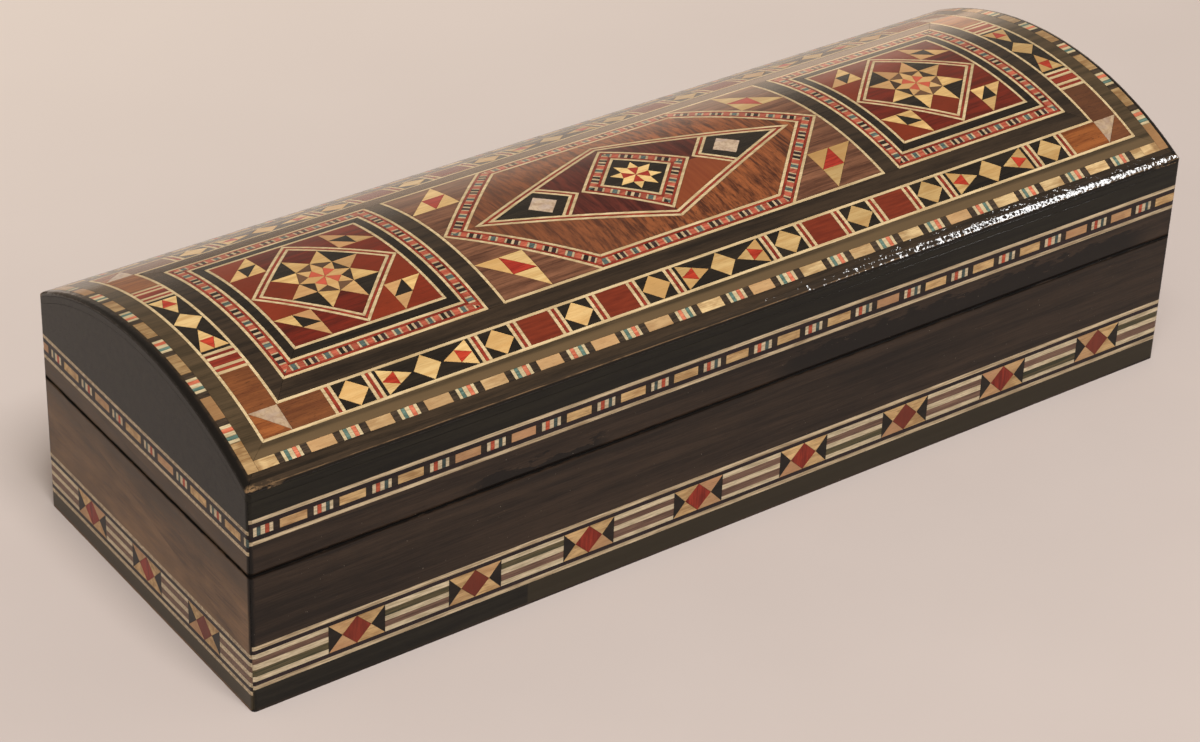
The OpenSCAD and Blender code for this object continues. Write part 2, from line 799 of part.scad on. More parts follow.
module lid_wall(side) {
    color(dark_wood)
        difference() {
            intersection() {
                between(tray_height, box_height) wall_plan(side);
                dome_cylinder(wall_top_radius, box_length + 2 * past);
            }
            between(lid_band_low(side), box_height + past) rebate_plan(side);
            seam_bevels();
            if (side == BACK)
                hinge_cuts(1);
        }
}
module lid_front_wall() { lid_wall(FRONT); }
module lid_back_wall() { lid_wall(BACK); }
module lid_left_wall() { lid_wall(LEFT); }
module lid_right_wall() { lid_wall(RIGHT); }

module lid_upper_strips() {
    color(near_black)
        intersection() {
            union()
                for (side = SIDES)
                    between(lid_band_high(side), box_height) skin_plan(side);
            dome_cylinder(wall_top_radius, box_length + 2 * past);
        }
}

module lid_cream_lines() {
    color(light_wood)
        for (side = SIDES)
            line_pair(side, lid_band_low(side), lid_band_high(side), 0, lid_cream_line);
}

module lid_dark_lines() {
    color(near_black)
        for (side = SIDES)
            line_pair(side, lid_band_low(side), lid_band_high(side),
                      lid_cream_line, lid_cream_line + lid_dark_line);
}

module lid_pattern_strips() {
    edge = lid_cream_line + lid_dark_line;
    color(light_wood)
        for (side = SIDES)
            between(lid_band_low(side) + edge, lid_band_high(side) - edge) skin_plan(side);
}

module lid_dome_lining() {
    color(velvet_red)
        intersection() {
            difference() {
                dome_cylinder(wall_top_radius);
                dome_cylinder(lining_radius, box_length + 2 * past);
            }
            between(tray_height, box_height)
                square(2 * (inner_plan - [joint, joint]), center = true);
        }
}

module lid_wall_linings() {
    color(velvet_red)
        intersection() {
            union()
                for (side = SIDES)
                    between(tray_height + velvet_margin, box_height) lining_plan(side);
            dome_cylinder(lining_radius - glue, box_length + 2 * past);
        }
}

// ---------- Inlay of the lid: borders ----------

module top_block_band() {
    color(light_wood)
        veneer(ring(block_outer, olive_outer));
}

module top_olive_strips() {
    color(olive_wood)
        veneer(ring(olive_outer, border_outer));
}

module top_dark_strips() {
    color(near_black)
        veneer(concat(
            ring(strip_outer, panel_outer),
            in_halves([rectangle([medallion_half, -panel_half],
                                 [medallion_half + dark_cross_strip, panel_half])])));
}

module border_cream_lines() {
    color(light_wood)
        veneer(concat(ring(border_outer, tile_outer), ring(tile_inner, strip_outer)));
}

module border_divider_lines() {
    lights = [[0, divider_line], [divider - divider_line, divider]];
    color(light_wood)
        for (l = lights) {
            veneer(on_long_borders(divider_strips(long_border_dividers, l[0], l[1])));
            veneer(on_end_borders(divider_strips(end_border_dividers, l[0], l[1])));
        }
}

module border_red_bars() {
    bar_start = end_border_dividers[0];
    reds = [divider_line, divider - divider_line];
    color(red_wood) {
        veneer(on_long_borders(divider_strips(long_border_dividers, reds[0], reds[1])));
        veneer(on_end_borders(concat(
            divider_strips(end_border_dividers, reds[0], reds[1]),
            in_halves([tile_strip(bar_start, bar_start + red_bar)]))));
    }
}

module border_black_grounds() {
    color(near_black)
        veneer(concat(on_long_borders(in_tiles("diamond", diamond_tile_ground)),
                      in_long_tiles(long_tile_ground)));
}

module border_light_tiles() {
    color(light_wood)
        veneer(concat(on_long_borders(in_tiles("diamond", diamond_tile_diamond)),
                      in_long_tiles(long_tile_lights)));
}

module border_red_tiles() {
    color(red_wood)
        veneer(concat(
            on_long_borders(in_tiles("red", [tile_strip(-red_tile / 2, red_tile / 2)])),
            in_long_tiles(long_tile_hearts)));
}

module border_brown_blocks() {
    color(brown_wood)
        veneer(concat(
            on_long_borders(in_halves([tile_strip(brown_start_long, tile_inner.x)])),
            on_end_borders(in_halves([tile_strip(brown_start_end, tile_inner.y)])),
            in_quarters([[tile_outer, [tile_inner.x, tile_outer.y], [tile_outer.x, tile_inner.y]]])));
}

module pearl_pieces() {
    color(shell)
        veneer(concat(
            in_quarters([[tile_inner, [tile_inner.x, tile_outer.y], [tile_outer.x, tile_inner.y]]]),
            in_halves([pearl_square])));
}

// ---------- Inlay of the lid: frames ----------

module frame_cream_lines() {
    color(light_wood)
        veneer(concat(
            on_side_panels(concat(
                framed(side_panel, 0, cream_line),
                framed(side_panel, frame_inner_line, frame_width),
                framed(side_panel, ring_end, ring_end + cream_line),
                framed(field_square, 0, cream_line),
                framed(field_square, cream_line + red_line, triple_line))),
            framed(medallion, 0, cream_line),
            in_quarters([hexagon_slant, cross_arm(0, cream_line),
                         cross_arm(cream_line + red_line, triple_line)]),
            framed(hexagon, frame_inner_line, frame_width),
            framed(rhombus, 0, cream_line),
            framed(rhombus, cream_line + red_line, triple_line),
            framed(square, 0, cream_line),
            framed(square, frame_inner_line, frame_width)));
}

module frame_red_lines() {
    color(red_wood)
        veneer(concat(
            on_side_panels(concat(
                framed(side_panel, cream_line, string_start),
                framed(side_panel, string_end, frame_inner_line),
                framed(field_square, cream_line, cream_line + red_line))),
            in_quarters([cross_arm(cream_line, cream_line + red_line)]),
            framed(hexagon, cream_line, string_start),
            framed(hexagon, string_end, frame_inner_line),
            framed(rhombus, cream_line, cream_line + red_line),
            framed(square, cream_line, string_start),
            framed(square, string_end, frame_inner_line)));
}

module frame_mosaic_strings() {
    color(light_wood)
        veneer(concat(
            on_side_panels(framed(side_panel, string_start, string_end)),
            framed(hexagon, string_start, string_end),
            framed(square, string_start, string_end)));
}

// ---------- Inlay of the lid: side panels and stars ----------

module side_black_rings() {
    color(near_black)
        veneer(on_side_panels(framed(side_panel, frame_width, ring_end)));
}

module side_red_pieces() {
    color(red_wood)
        veneer(on_side_panels(concat(in_quarters(around_heart(field_corner)), corner_squares)));
}

module side_light_triangles() {
    color(light_wood)
        veneer(on_side_panels(concat(in_quarters(around_heart(heart(field_corner))), octagon_triangles)));
}

module side_black_triangles() {
    color(near_black)
        veneer(on_side_panels(concat(in_quarters([heart(heart(field_corner))]), middle_triangles)));
}

module star_light_points() {
    color(light_wood)
        veneer(concat(
            on_side_panels(concat(star_kites(octagon_radius, 0), star_ends(octagon_radius, 0))),
            star_kites(medallion_star, 22.5),
            star_ends(medallion_star, 22.5)));
}

module star_red_hearts() {
    color(red_wood)
        veneer(concat(on_side_panels(star_hearts(octagon_radius, 0)), star_hearts(medallion_star, 22.5)));
}

module star_black_triangles() {
    color(near_black)
        veneer(on_side_panels(between_points(octagon_radius)));
}

// ---------- Inlay of the lid: medallion ----------

module medallion_corner_wood() {
    color(brown_wood)
        veneer(in_quarters(around_heart(medallion_corner)));
}

module medallion_field() {
    color(brown_wood)
        veneer([upper_field, flipped(upper_field, [1, -1])], [rhombus]);
}

module medallion_red_wood() {
    color(red_wood)
        veneer(in_quarters([red_corner]));
}

module medallion_black_grounds() {
    color(near_black)
        veneer(concat(in_halves([kite]), [square_ground]),
               concat(in_halves([pearl_square]), [star_outline(medallion_star, 22.5)]));
}

module medallion_light_triangles() {
    color(light_wood)
        veneer(in_quarters(around_heart(heart(medallion_corner))));
}

module medallion_red_triangles() {
    color(red_wood)
        veneer(in_quarters([heart(heart(medallion_corner))]));
}

base_board();
tray_front_wall();
tray_back_wall();
tray_left_wall();
tray_right_wall();
plinth_strips();
tray_cream_lines();
tray_dark_lines();
tray_pattern_strips();
tray_floor_lining();
tray_wall_linings();
left_hinge_tray_leaf();
right_hinge_tray_leaf();
hinge_pins();
tray_hinge_nails();
lid_board();
lid_front_wall();
lid_back_wall();
lid_left_wall();
lid_right_wall();
lid_upper_strips();
lid_cream_lines();
lid_dark_lines();
lid_pattern_strips();
lid_dome_lining();
lid_wall_linings();
left_hinge_lid_leaf();
right_hinge_lid_leaf();
lid_hinge_nails();
top_rim_strips();
top_block_band();
top_olive_strips();
top_dark_strips();
border_cream_lines();
border_divider_lines();
border_red_bars();
border_black_grounds();
border_light_tiles();
border_red_tiles();
border_brown_blocks();
pearl_pieces();
frame_cream_lines();
frame_red_lines();
frame_mosaic_strings();
side_black_rings();
side_red_pieces();
side_light_triangles();
side_black_triangles();
star_light_points();
star_red_hearts();
star_black_triangles();
medallion_corner_wood();
medallion_field();
medallion_red_wood();
medallion_black_grounds();
medallion_light_triangles();
medallion_red_triangles();
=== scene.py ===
# %% [markdown]
# # An inlaid wooden box with a domed lid
#
# A long box of this kind is made of plain boards, and then covered with small pieces of coloured
# wood under a clear lacquer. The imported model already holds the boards, the lines and the larger
# pieces of the inlay. This script lights it, gives every piece its wood, and lays the finest work,
# which is made of slices a millimetre wide, piece by piece.

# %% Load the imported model
import math
import random

import bpy
from mathutils import Matrix, Vector


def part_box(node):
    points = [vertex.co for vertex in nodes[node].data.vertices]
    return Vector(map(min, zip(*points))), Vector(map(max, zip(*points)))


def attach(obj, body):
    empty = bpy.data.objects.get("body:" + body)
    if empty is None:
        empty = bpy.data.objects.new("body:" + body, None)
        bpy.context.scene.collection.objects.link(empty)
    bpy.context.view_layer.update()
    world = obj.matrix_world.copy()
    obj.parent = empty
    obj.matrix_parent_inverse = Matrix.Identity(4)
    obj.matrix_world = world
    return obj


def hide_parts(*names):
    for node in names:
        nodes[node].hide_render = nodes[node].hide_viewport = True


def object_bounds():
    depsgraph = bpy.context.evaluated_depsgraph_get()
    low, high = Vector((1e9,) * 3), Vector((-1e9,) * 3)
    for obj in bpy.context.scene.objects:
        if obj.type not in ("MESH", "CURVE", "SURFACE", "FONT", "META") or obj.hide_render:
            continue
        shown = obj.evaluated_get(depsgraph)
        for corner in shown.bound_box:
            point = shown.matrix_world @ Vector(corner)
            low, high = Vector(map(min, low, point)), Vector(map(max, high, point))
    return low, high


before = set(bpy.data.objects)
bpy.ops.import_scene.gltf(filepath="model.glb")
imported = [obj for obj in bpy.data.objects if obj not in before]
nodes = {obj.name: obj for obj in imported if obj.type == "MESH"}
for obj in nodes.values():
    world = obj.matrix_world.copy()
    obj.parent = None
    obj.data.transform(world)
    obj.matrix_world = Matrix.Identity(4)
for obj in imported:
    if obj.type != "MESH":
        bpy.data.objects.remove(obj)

MM = 0.001
cad_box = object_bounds()
HALF_LENGTH = -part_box("tray_left_wall")[0].x / MM
HALF_DEPTH = -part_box("tray_front_wall")[0].y / MM
TRAY_HEIGHT = round(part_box("tray_front_wall")[1].z / MM, 3)
BOX_HEIGHT, DOME_RISE = cad_box[1].z / MM, 12
print("nodes:", len(nodes), "box in mm:", [round(1000 * v, 2) for v in cad_box[1] - cad_box[0]])
print("the seam is at", TRAY_HEIGHT, "mm")

# %% [markdown]
# ## The camera
#
# A long lens from the front left and above shows the front, the left end and the whole lid with
# little perspective. The directions are worked out from an azimuth, an elevation and a small roll,
# because those three numbers are easy to check by eye.

# %% Set the camera
def put_in_scene(name, data):
    """An object that carries the data, linked into the scene."""
    made = bpy.data.objects.new(name, data)
    bpy.context.scene.collection.objects.link(made)
    return made


AZIMUTH, ELEVATION, ROLL = (math.radians(v) for v in (36.468, 33.214, 2.261))
LENS, FILM_WIDTH = 103.91, 36
CAMERA_PLACE = (-0.39926, -0.52968, 0.44969)
ahead = Vector((math.sin(AZIMUTH) * math.cos(ELEVATION),
                math.cos(AZIMUTH) * math.cos(ELEVATION), -math.sin(ELEVATION)))
level_right = Vector((math.cos(AZIMUTH), -math.sin(AZIMUTH), 0))
level_up = level_right.cross(ahead)
right = level_right * math.cos(ROLL) + level_up * math.sin(ROLL)
up = level_up * math.cos(ROLL) - level_right * math.sin(ROLL)

camera_data = bpy.data.cameras.new("camera")
camera_data.lens, camera_data.sensor_width = LENS, FILM_WIDTH
camera_data.clip_start, camera_data.clip_end = 0.01, 50
camera = put_in_scene("camera", camera_data)
camera.matrix_world = Matrix.Translation(CAMERA_PLACE) @ Matrix(
    (right, up, -ahead)).transposed().to_4x4()
bpy.context.scene.camera = camera
print("camera looks along", [round(v, 3) for v in ahead])

# %% [markdown]
# ## Node recipes
#
# Every finish below, and the sky too, is a small graph of shader nodes. Writing each node out by
# hand hides what the finish is, so Nodes adds one to a graph in a single line, and a Recipe is the
# graph of one material. A value that is another node's output is linked, and anything else is typed
# into the socket.

# %% Graphs of nodes
def paint(red, green, blue):
    """A colour as it is seen, from 0 to 255, turned into the linear values that Blender uses."""
    def linear(v):
        v /= 255
        return v / 12.92 if v <= 0.04045 else ((v + 0.055) / 1.055) ** 2.4
    return linear(red), linear(green), linear(blue), 1


class Nodes:
    """A graph of nodes, and short calls that add to it."""

    def __init__(self, tree):
        self.tree = tree

    def put(self, socket, value):
        if isinstance(value, bpy.types.NodeSocket):
            self.tree.links.new(value, socket)
        else:
            socket.default_value = value

    def node(self, kind, inputs=None, output=0, **settings):
        made = self.tree.nodes.new("ShaderNode" + kind)
        for key, value in settings.items():
            setattr(made, key, value)
        for key, value in (inputs or {}).items():
            self.put(made.inputs[key], value)
        return made.outputs[output]

    def math(self, operation, a, b=0.0, c=0.0):
        return self.node("Math", {0: a, 1: b, 2: c}, operation=operation)

    def times(self, *factors):
        result = factors[0]
        for factor in factors[1:]:
            result = self.math("MULTIPLY", result, factor)
        return result

    def mix(self, share, a, b, blend="MIX"):
        return self.node("Mix", {0: share, 6: a, 7: b}, output=2, data_type="RGBA", blend_type=blend)

    def ramp(self, value, low, high, start=0.0, end=1.0):
        """Values from low to high become start to end, with soft ends."""
        return self.node("MapRange", {0: value, 1: low, 2: high, 3: start, 4: end},
                         interpolation_type="SMOOTHSTEP")


print("a grey of 128 gives back", round(paint(128, 128, 128)[0], 3), "of the light")

# %% Recipes for finishes
class Recipe(Nodes):
    """The graph of one material, with calls for places, noise and a clear coat."""
    count = 0

    def __init__(self, name):
        Recipe.count += 1
        self.material = bpy.data.materials.new(name)
        self.material.use_nodes = True
        super().__init__(self.material.node_tree)
        self.shader = self.tree.nodes["Principled BSDF"]
        self.place = self.node("TexCoord", output="Object")
        self.island = self.node("NewGeometry", output="Random Per Island")
        self.bare = None

    def set(self, inputs):
        """Gives the shader's inputs, named as they are in its panel, their values or links."""
        for name, value in inputs.items():
            self.put(self.shader.inputs[name], value)

    def axis(self, k):
        """Where a point lies along X, Y or Z, in millimetres."""
        split = self.node("SeparateXYZ", {0: self.place}, output=k)
        return self.times(split, 1000)

    def noise(self, size, detail=2.0, rough=0.5, seed=0.0, per_island=1.0, warp=0.0):
        """Noise with features of size = (x, y, z) in millimetres, different on each small piece."""
        moved = self.node("VectorMath", {0: self.place, 1: self.node("CombineXYZ", {
            k: self.math("MULTIPLY_ADD", self.island, per_island * s, seed)
            for k, s in enumerate((0.31, 0.57, 0.83))})}, operation="ADD")
        scaled = self.node("VectorMath", {0: moved, 1: [1 / (MM * s) for s in size]},
                           operation="MULTIPLY")
        return self.node("TexNoise", {"Vector": scaled, "Scale": 1, "Detail": detail,
                                      "Roughness": rough, "Distortion": warp})

    def bump(self, height, depth, strength=1.0):
        return self.node("Bump", {"Height": height, "Distance": depth * MM, "Strength": strength})

    def tinted(self, colour, tint):
        """One colour multiplied by another."""
        return self.mix(1.0, colour, tint, "MULTIPLY")

    def near(self, k, middle, reach, soft=0.3):
        """1 within reach of the middle along an axis and 0 elsewhere, in millimetres."""
        away = self.math("ABSOLUTE", self.math("SUBTRACT", self.axis(k), middle))
        return self.ramp(away, reach - soft, reach + soft, 1, 0)

    def far_out(self, k, limit, soft=0.3):
        """1 where a point lies further than limit from the middle plane of the box."""
        return self.ramp(self.math("ABSOLUTE", self.axis(k)), limit - soft, limit + soft)

    def lacquer(self, weight=1.0, roughness=0.12, ripple=0.02, wave=(2.2, 1.6, 1.8)):
        """A clear coat that ripples a little, and is missing where the recipe says bare."""
        if self.bare is not None:
            weight = self.times(self.math("SUBTRACT", 1, self.bare), weight)
        waves = self.noise(wave, 2, per_island=0, seed=0.4)
        self.set({"Specular IOR Level": 0.03, "Coat Weight": weight, "Coat IOR": 1.42,
                  "Coat Roughness": roughness, "Coat Normal": self.bump(waves, ripple)})


# %% [markdown]
# ## Woods
#
# Marquetry woods differ in colour, in how strongly the grain shows and in which way it runs. One
# function covers them all: broad streaks that follow the grain, fine fibres, short dark pores, and a
# tone that changes from one small piece to the next, as it does when pieces come from many sticks.

# %% A wood finish
ALONG_X, ALONG_Y, ALONG_Z = 0, 1, 2
SIDE_COAT = 0.55


def sized(along, length, width):
    return [length if k == along else width for k in range(3)]


def wood(name, deep, pale, along=ALONG_X, streak=(30, 1.6), fibre=(5, 0.22), pores=0.3, vary=0.12,
         other=None, contrast=1.0, coat=0.9, gloss=0.12, ripple=0.02, wave=(2.2, 1.6, 1.8),
         flecks=0.0, change=None):
    """A lacquered wood between two colours; other is the colour that some of its pieces lean to."""
    r = Recipe(name)
    broad = r.noise(sized(along, *streak), 3, 0.55, warp=0.3)
    fine = r.noise(sized(along, *fibre), 2, 0.6, seed=2.3)
    tone = r.math("ADD", r.times(broad, 0.65), r.times(fine, 0.35))
    tone = r.ramp(tone, 0.5 - 0.16 / contrast, 0.5 + 0.16 / contrast)
    colour = r.mix(tone, deep, pale)
    if other is not None:
        second = r.math("FRACT", r.times(r.island, 7.31))
        colour = r.mix(r.ramp(second, 0.35, 0.95, 0, 0.85), colour, other)
    cloud = r.noise((9, 7, 7), 2, seed=5.1)
    light = r.math("MULTIPLY_ADD", r.math("SUBTRACT", r.island, 0.5), 2 * vary, 1)
    light = r.times(light, r.ramp(cloud, 0.3, 0.7, 0.93, 1.07))
    pore = r.ramp(r.noise(sized(along, 1.6, 0.11), 1, seed=8.7), 0.6, 0.72, 1, 1 - pores)
    light = r.times(light, pore)
    colour = r.tinted(colour, r.node("CombineColor", {0: light, 1: light, 2: light}))
    if flecks:
        fleck = r.ramp(r.noise(sized(along, 1.5, 0.3), 2, seed=3.9), 0.64, 0.7, 0, flecks)
        colour = r.mix(fleck, colour, paint(34, 26, 22))
    if change is not None:
        colour = change(r, colour)
    r.set({"Base Color": colour, "Roughness": r.ramp(fine, 0.3, 0.7, 0.38, 0.55),
           "Normal": r.bump(r.times(fine, pore), 0.02, 0.5)})
    r.lacquer(coat, gloss, ripple, wave)
    return r


def give(recipe, *names):
    for name in names:
        mesh = nodes[name].data
        mesh.materials.clear()
        mesh.materials.append(recipe.material)


# %% [markdown]
# ## Age, dirt and a painted highlight
#
# An old box is dark where dust and polish gather: in the seam, in blotches just above it and along
# the upright corners. It is bare and tan where hands and tables rub it, which is at the corners of
# the lid and along the ridge of its long edges; the pale line along that ridge is also a painted
# highlight, for the glints of its edge. Both are painted by place, in patches that follow noise and
# not in clean bands. The lacquer is left off the seam, where wear took it away.

# %% Changes that age brings
SKIN_X, SKIN_Y = HALF_LENGTH - 0.8, HALF_DEPTH - 0.8
CORNER_X, CORNER_Y = HALF_LENGTH - 0.9, HALF_DEPTH - 0.85
RIDGE_HEIGHT = BOX_HEIGHT - DOME_RISE - 0.1
GRIME = paint(17, 14, 12)
BARE_WOOD_AND_GLINT = paint(152, 122, 88)


def grime(r, colour):
    """Dirt in the seam, above it on the front and on the upright corners, and a few pale specks."""
    ragged = r.noise((4, 4, 1.2), 4, 0.65, per_island=0, seed=6.6)
    above = r.math("SUBTRACT", r.axis(2), TRAY_HEIGHT)
    half_width = r.math("MULTIPLY_ADD", ragged, 1.5, -0.4)
    from_seam = r.math("ABSOLUTE", above)
    skin = r.math("MAXIMUM", r.far_out(0, SKIN_X), r.far_out(1, SKIN_Y))
    line = r.times(skin, r.ramp(r.math("SUBTRACT", from_seam, half_width), -0.1, 0.2, 1, 0))
    blotch = r.noise((8, 8, 2.2), 4, 0.6, per_island=0, seed=1.7)
    reach = r.math("MULTIPLY_ADD", blotch, 14, r.ramp(r.axis(0), -6, 18, -4.4, -1.5))
    low = r.times(r.math("GREATER_THAN", above, 0),
                  r.ramp(r.math("SUBTRACT", reach, above), -0.2, 0.5))
    places = r.math("MAXIMUM", r.near(0, -55, 17, 4), r.near(0, 62, 54, 6))
    front = r.math("LESS_THAN", r.axis(1), -30)
    corner = r.times(r.far_out(0, CORNER_X, 0.5), r.far_out(1, CORNER_Y, 0.5))
    r.bare = r.times(skin, r.ramp(from_seam, 0.6, 0.8, 1, 0))
    dirty = r.math("MAXIMUM", r.math("MAXIMUM", line, corner), r.times(low, places, front, 0.9))
    speck = r.ramp(r.noise((0.5, 0.5, 0.5), 1, per_island=0, seed=4.2), 0.8, 0.82, 0, 0.7)
    return r.mix(speck, r.mix(dirty, colour, GRIME), paint(140, 130, 118))


def darker_above(r, colour):
    """The left end is stained darker towards the seam."""
    share = r.ramp(r.axis(2), 23, 33, 0, 0.7)
    return grime(r, r.mix(share, colour, paint(44, 37, 28)))


def rim_wear_and_glint(r, colour):
    """Bare wood at the lid's corners, a pale ridge of bare wood and painted glints, black below it and
    black end edges.
    """
    patch = r.ramp(r.noise((3.5, 2.5, 1.6), 4, 0.65, per_island=0, seed=2.8), 0.5, 0.6)
    corner = r.times(r.far_out(0, HALF_LENGTH - 6, 4), r.far_out(1, CORNER_Y, 0.5))
    # Painted highlight: the dotted pale line along the ridge stands for glints of the edge as well as
    # bare wood.
    rubbed_and_glinting = r.ramp(r.noise((7, 1, 0.5), 4, 0.7, per_island=0, seed=8.1), 0.42, 0.56, 0.1, 0.75)
    ridge = r.times(rubbed_and_glinting, r.near(2, RIDGE_HEIGHT, 0.06, 0.1))
    colour = r.mix(r.far_out(0, HALF_LENGTH - 1.6, 0.5), colour, GRIME)
    colour = r.mix(r.ramp(r.axis(2), RIDGE_HEIGHT - 0.25, RIDGE_HEIGHT - 0.05, 1, 0), colour, GRIME)
    wear_and_glint = r.math("MAXIMUM", r.times(corner, patch, 0.9), ridge)
    return r.mix(wear_and_glint, colour, BARE_WOOD_AND_GLINT)


print("the rubbed ridge is at", round(RIDGE_HEIGHT, 2), "mm")

# %% [markdown]
# ## The woods of the box
#
# Pale boxwood and blackened wood make the figures, padauk and rosewood the red pieces, walnut and
# chestnut the brown ones. Some pieces are redder or paler than their neighbours on one part of the
# lid, because they were sawn from another stick, so a few woods change colour by place.

# %% Changes by place
SIDE_PANELS = 52
TILE_PAIRS, TILE_FROM_PAIR = 37.85, 10.05


def by_panel(outer):
    """A change that gives the pieces of the two side panels another colour."""
    def change(r, colour):
        return r.mix(r.far_out(0, SIDE_PANELS, 0.5), colour, r.mix(0.55, colour, outer))
    return change


def dark_tiles(r, colour):
    """The plain red tiles of the long borders are much darker than the small red pieces."""
    from_pair = r.math("ABSOLUTE", r.math("SUBTRACT", r.math("ABSOLUTE", r.axis(0)), TILE_PAIRS))
    from_tile = r.math("ABSOLUTE", r.math("SUBTRACT", from_pair, TILE_FROM_PAIR))
    tile = r.ramp(from_tile, 4.3, 4.5, 1, 0)
    shade = r.mix(r.noise((6, 0.7, 0.7), 3, seed=9.1), paint(78, 22, 14), paint(142, 58, 34))
    return r.mix(tile, colour, shade)


def orange_corner(r, colour):
    """One of the four red quarters came from a more orange stick."""
    here = r.times(r.math("GREATER_THAN", r.axis(0), 0.5), r.math("LESS_THAN", r.axis(1), -0.5))
    shade = r.mix(r.noise((1, 9, 9), 3, seed=7.7), paint(112, 46, 26), paint(148, 78, 44))
    return r.mix(here, colour, shade)


def duller_right(r, colour):
    """The light pieces of the right half have darkened more than those of the left half."""
    share = r.ramp(r.axis(0), -50, 5, 0, 0.6)
    return r.mix(share, colour, r.tinted(colour, paint(196, 190, 184)))


def browner_left(r, colour):
    """The streaky field is a duller brown in its left half."""
    return r.mix(r.ramp(r.axis(0), -30, 8, 0.45, 0), colour, paint(104, 66, 48))


def lighter_front(r, colour):
    """The long olive strip of the front is lighter and yellower than the others."""
    return r.mix(r.ramp(r.axis(1), -37.2, -36.4, 0.75, 0), colour, paint(108, 88, 62))


print("plain red tiles lie", TILE_FROM_PAIR, "mm from the middle of each pair")

# %% Woods of the figures
boxwood = wood("boxwood", paint(204, 164, 104), paint(230, 198, 138), streak=(12, 1.2), pores=0.15,
               vary=0.05, other=paint(210, 164, 102), change=duller_right)
give(boxwood, "border_light_tiles", "medallion_light_triangles")
give(wood("star_boxwood", paint(216, 176, 110), paint(240, 206, 142), streak=(9, 1.0), pores=0.1,
          vary=0.08, change=by_panel(paint(182, 134, 88))), "star_light_points")
give(wood("triangle_boxwood", paint(196, 156, 98), paint(228, 192, 128), streak=(9, 1.0), pores=0.15,
          vary=0.1, other=paint(186, 138, 94)), "side_light_triangles")
ebony = wood("ebony", paint(22, 19, 16), paint(42, 35, 27), pores=0.3, vary=0.15)
give(ebony, "border_black_grounds", "side_black_rings", "side_black_triangles",
     "medallion_black_grounds")
give(wood("star_black", paint(40, 32, 26), paint(66, 52, 40), vary=0.2, other=paint(118, 84, 60)),
     "star_black_triangles")
give(wood("padauk", paint(150, 40, 26), paint(196, 66, 44), streak=(10, 0.9), pores=0.25,
          change=dark_tiles), "border_red_tiles")
give(wood("brown_red", paint(76, 22, 14), paint(118, 36, 22), streak=(14, 1.4), pores=0.3, vary=0.16,
          other=paint(128, 48, 24)), "side_red_pieces")
give(wood("star_red", paint(140, 36, 28), paint(184, 58, 42), streak=(8, 0.9), pores=0.2,
          change=by_panel(paint(218, 112, 84))), "star_red_hearts", "medallion_red_triangles")
print("woods so far:", Recipe.count)

# %% Woods of the lines, the fields and the strips
give(wood("red_line", paint(104, 32, 22), paint(160, 60, 42), pores=0.2, vary=0.1),
     "border_red_bars", "frame_red_lines")
give(wood("cream_line", paint(186, 160, 118), paint(222, 200, 158), streak=(9, 0.8), pores=0.2,
          vary=0.06), "border_cream_lines", "frame_cream_lines", "border_divider_lines")
give(wood("side_cream_line", paint(146, 126, 98), paint(214, 196, 164), streak=(11, 0.7), pores=0.3,
          vary=0.08, coat=SIDE_COAT), "tray_cream_lines", "lid_cream_lines")
give(wood("plum_line", paint(26, 17, 18), paint(44, 31, 32), pores=0.2, vary=0.08, coat=SIDE_COAT),
     "tray_dark_lines", "lid_dark_lines")
give(wood("chestnut_block", paint(114, 58, 26), paint(166, 98, 50), streak=(16, 1.5), pores=0.35,
          other=paint(84, 54, 38), flecks=0.5), "border_brown_blocks")
give(wood("walnut_corner", paint(84, 52, 38), paint(134, 90, 66), streak=(18, 1.2), pores=0.4),
     "medallion_corner_wood")
give(wood("medallion_field_wood", paint(70, 36, 24), paint(154, 88, 50), along=ALONG_Y, streak=(44, 1.3),
          fibre=(20, 0.35), pores=0.35, contrast=1.1, flecks=0.6, change=browner_left),
     "medallion_field")
give(wood("rosewood", paint(56, 20, 18), paint(98, 42, 32), along=ALONG_Y, streak=(16, 1.4), vary=0.16,
          change=orange_corner), "medallion_red_wood")
give(wood("olive_strip", paint(58, 48, 33), paint(86, 70, 50), streak=(45, 1.6), pores=0.2, vary=0.05,
          change=lighter_front), "top_olive_strips")
give(wood("dark_strip", paint(34, 27, 21), paint(62, 49, 37), streak=(40, 1.8), pores=0.3, vary=0.05),
     "top_dark_strips")
give(wood("inner_wood", paint(120, 84, 56), paint(168, 126, 88), streak=(60, 3), pores=0.35),
     "base_board")
print("woods so far:", Recipe.count)

# %% Woods of the sides
stained = wood("stained_wall", paint(28, 21, 16), paint(58, 45, 35), streak=(70, 2.6), fibre=(9, 0.3),
               vary=0.04, coat=SIDE_COAT, gloss=0.2, change=grime)
give(stained, "tray_front_wall", "tray_back_wall", "tray_right_wall", "lid_front_wall", "lid_back_wall",
     "lid_right_wall")
# Painted light: the left end's mottled brown wood is also painted much lighter than the front walls, for
# the light and haze that the left end gets.
give(wood("stained_end_painted_light", paint(66, 48, 31), paint(136, 104, 73), along=ALONG_Y, streak=(26, 9),
          fibre=(7, 0.4), contrast=0.6, coat=SIDE_COAT, gloss=0.2, change=darker_above),
     "tray_left_wall", "lid_left_wall")


PLINTH_JOINT = -57


def browner_strip(r, colour):
    """The plinth is black on the left, but browner right of its joint, and at the left end it is painted
    browner as painted light, like the walls of that end.
    """
    right = r.ramp(r.axis(0), PLINTH_JOINT - 0.2, PLINTH_JOINT + 0.2, 0, 0.5)
    # Painted light: the left end of the plinth is painted browner, as the end walls are painted lighter.
    left_end_painted_light = r.ramp(r.axis(0), 0.1 - HALF_LENGTH, 0.7 - HALF_LENGTH, 1, 0)
    return r.mix(r.math("MAXIMUM", right, left_end_painted_light), colour, paint(62, 54, 38))


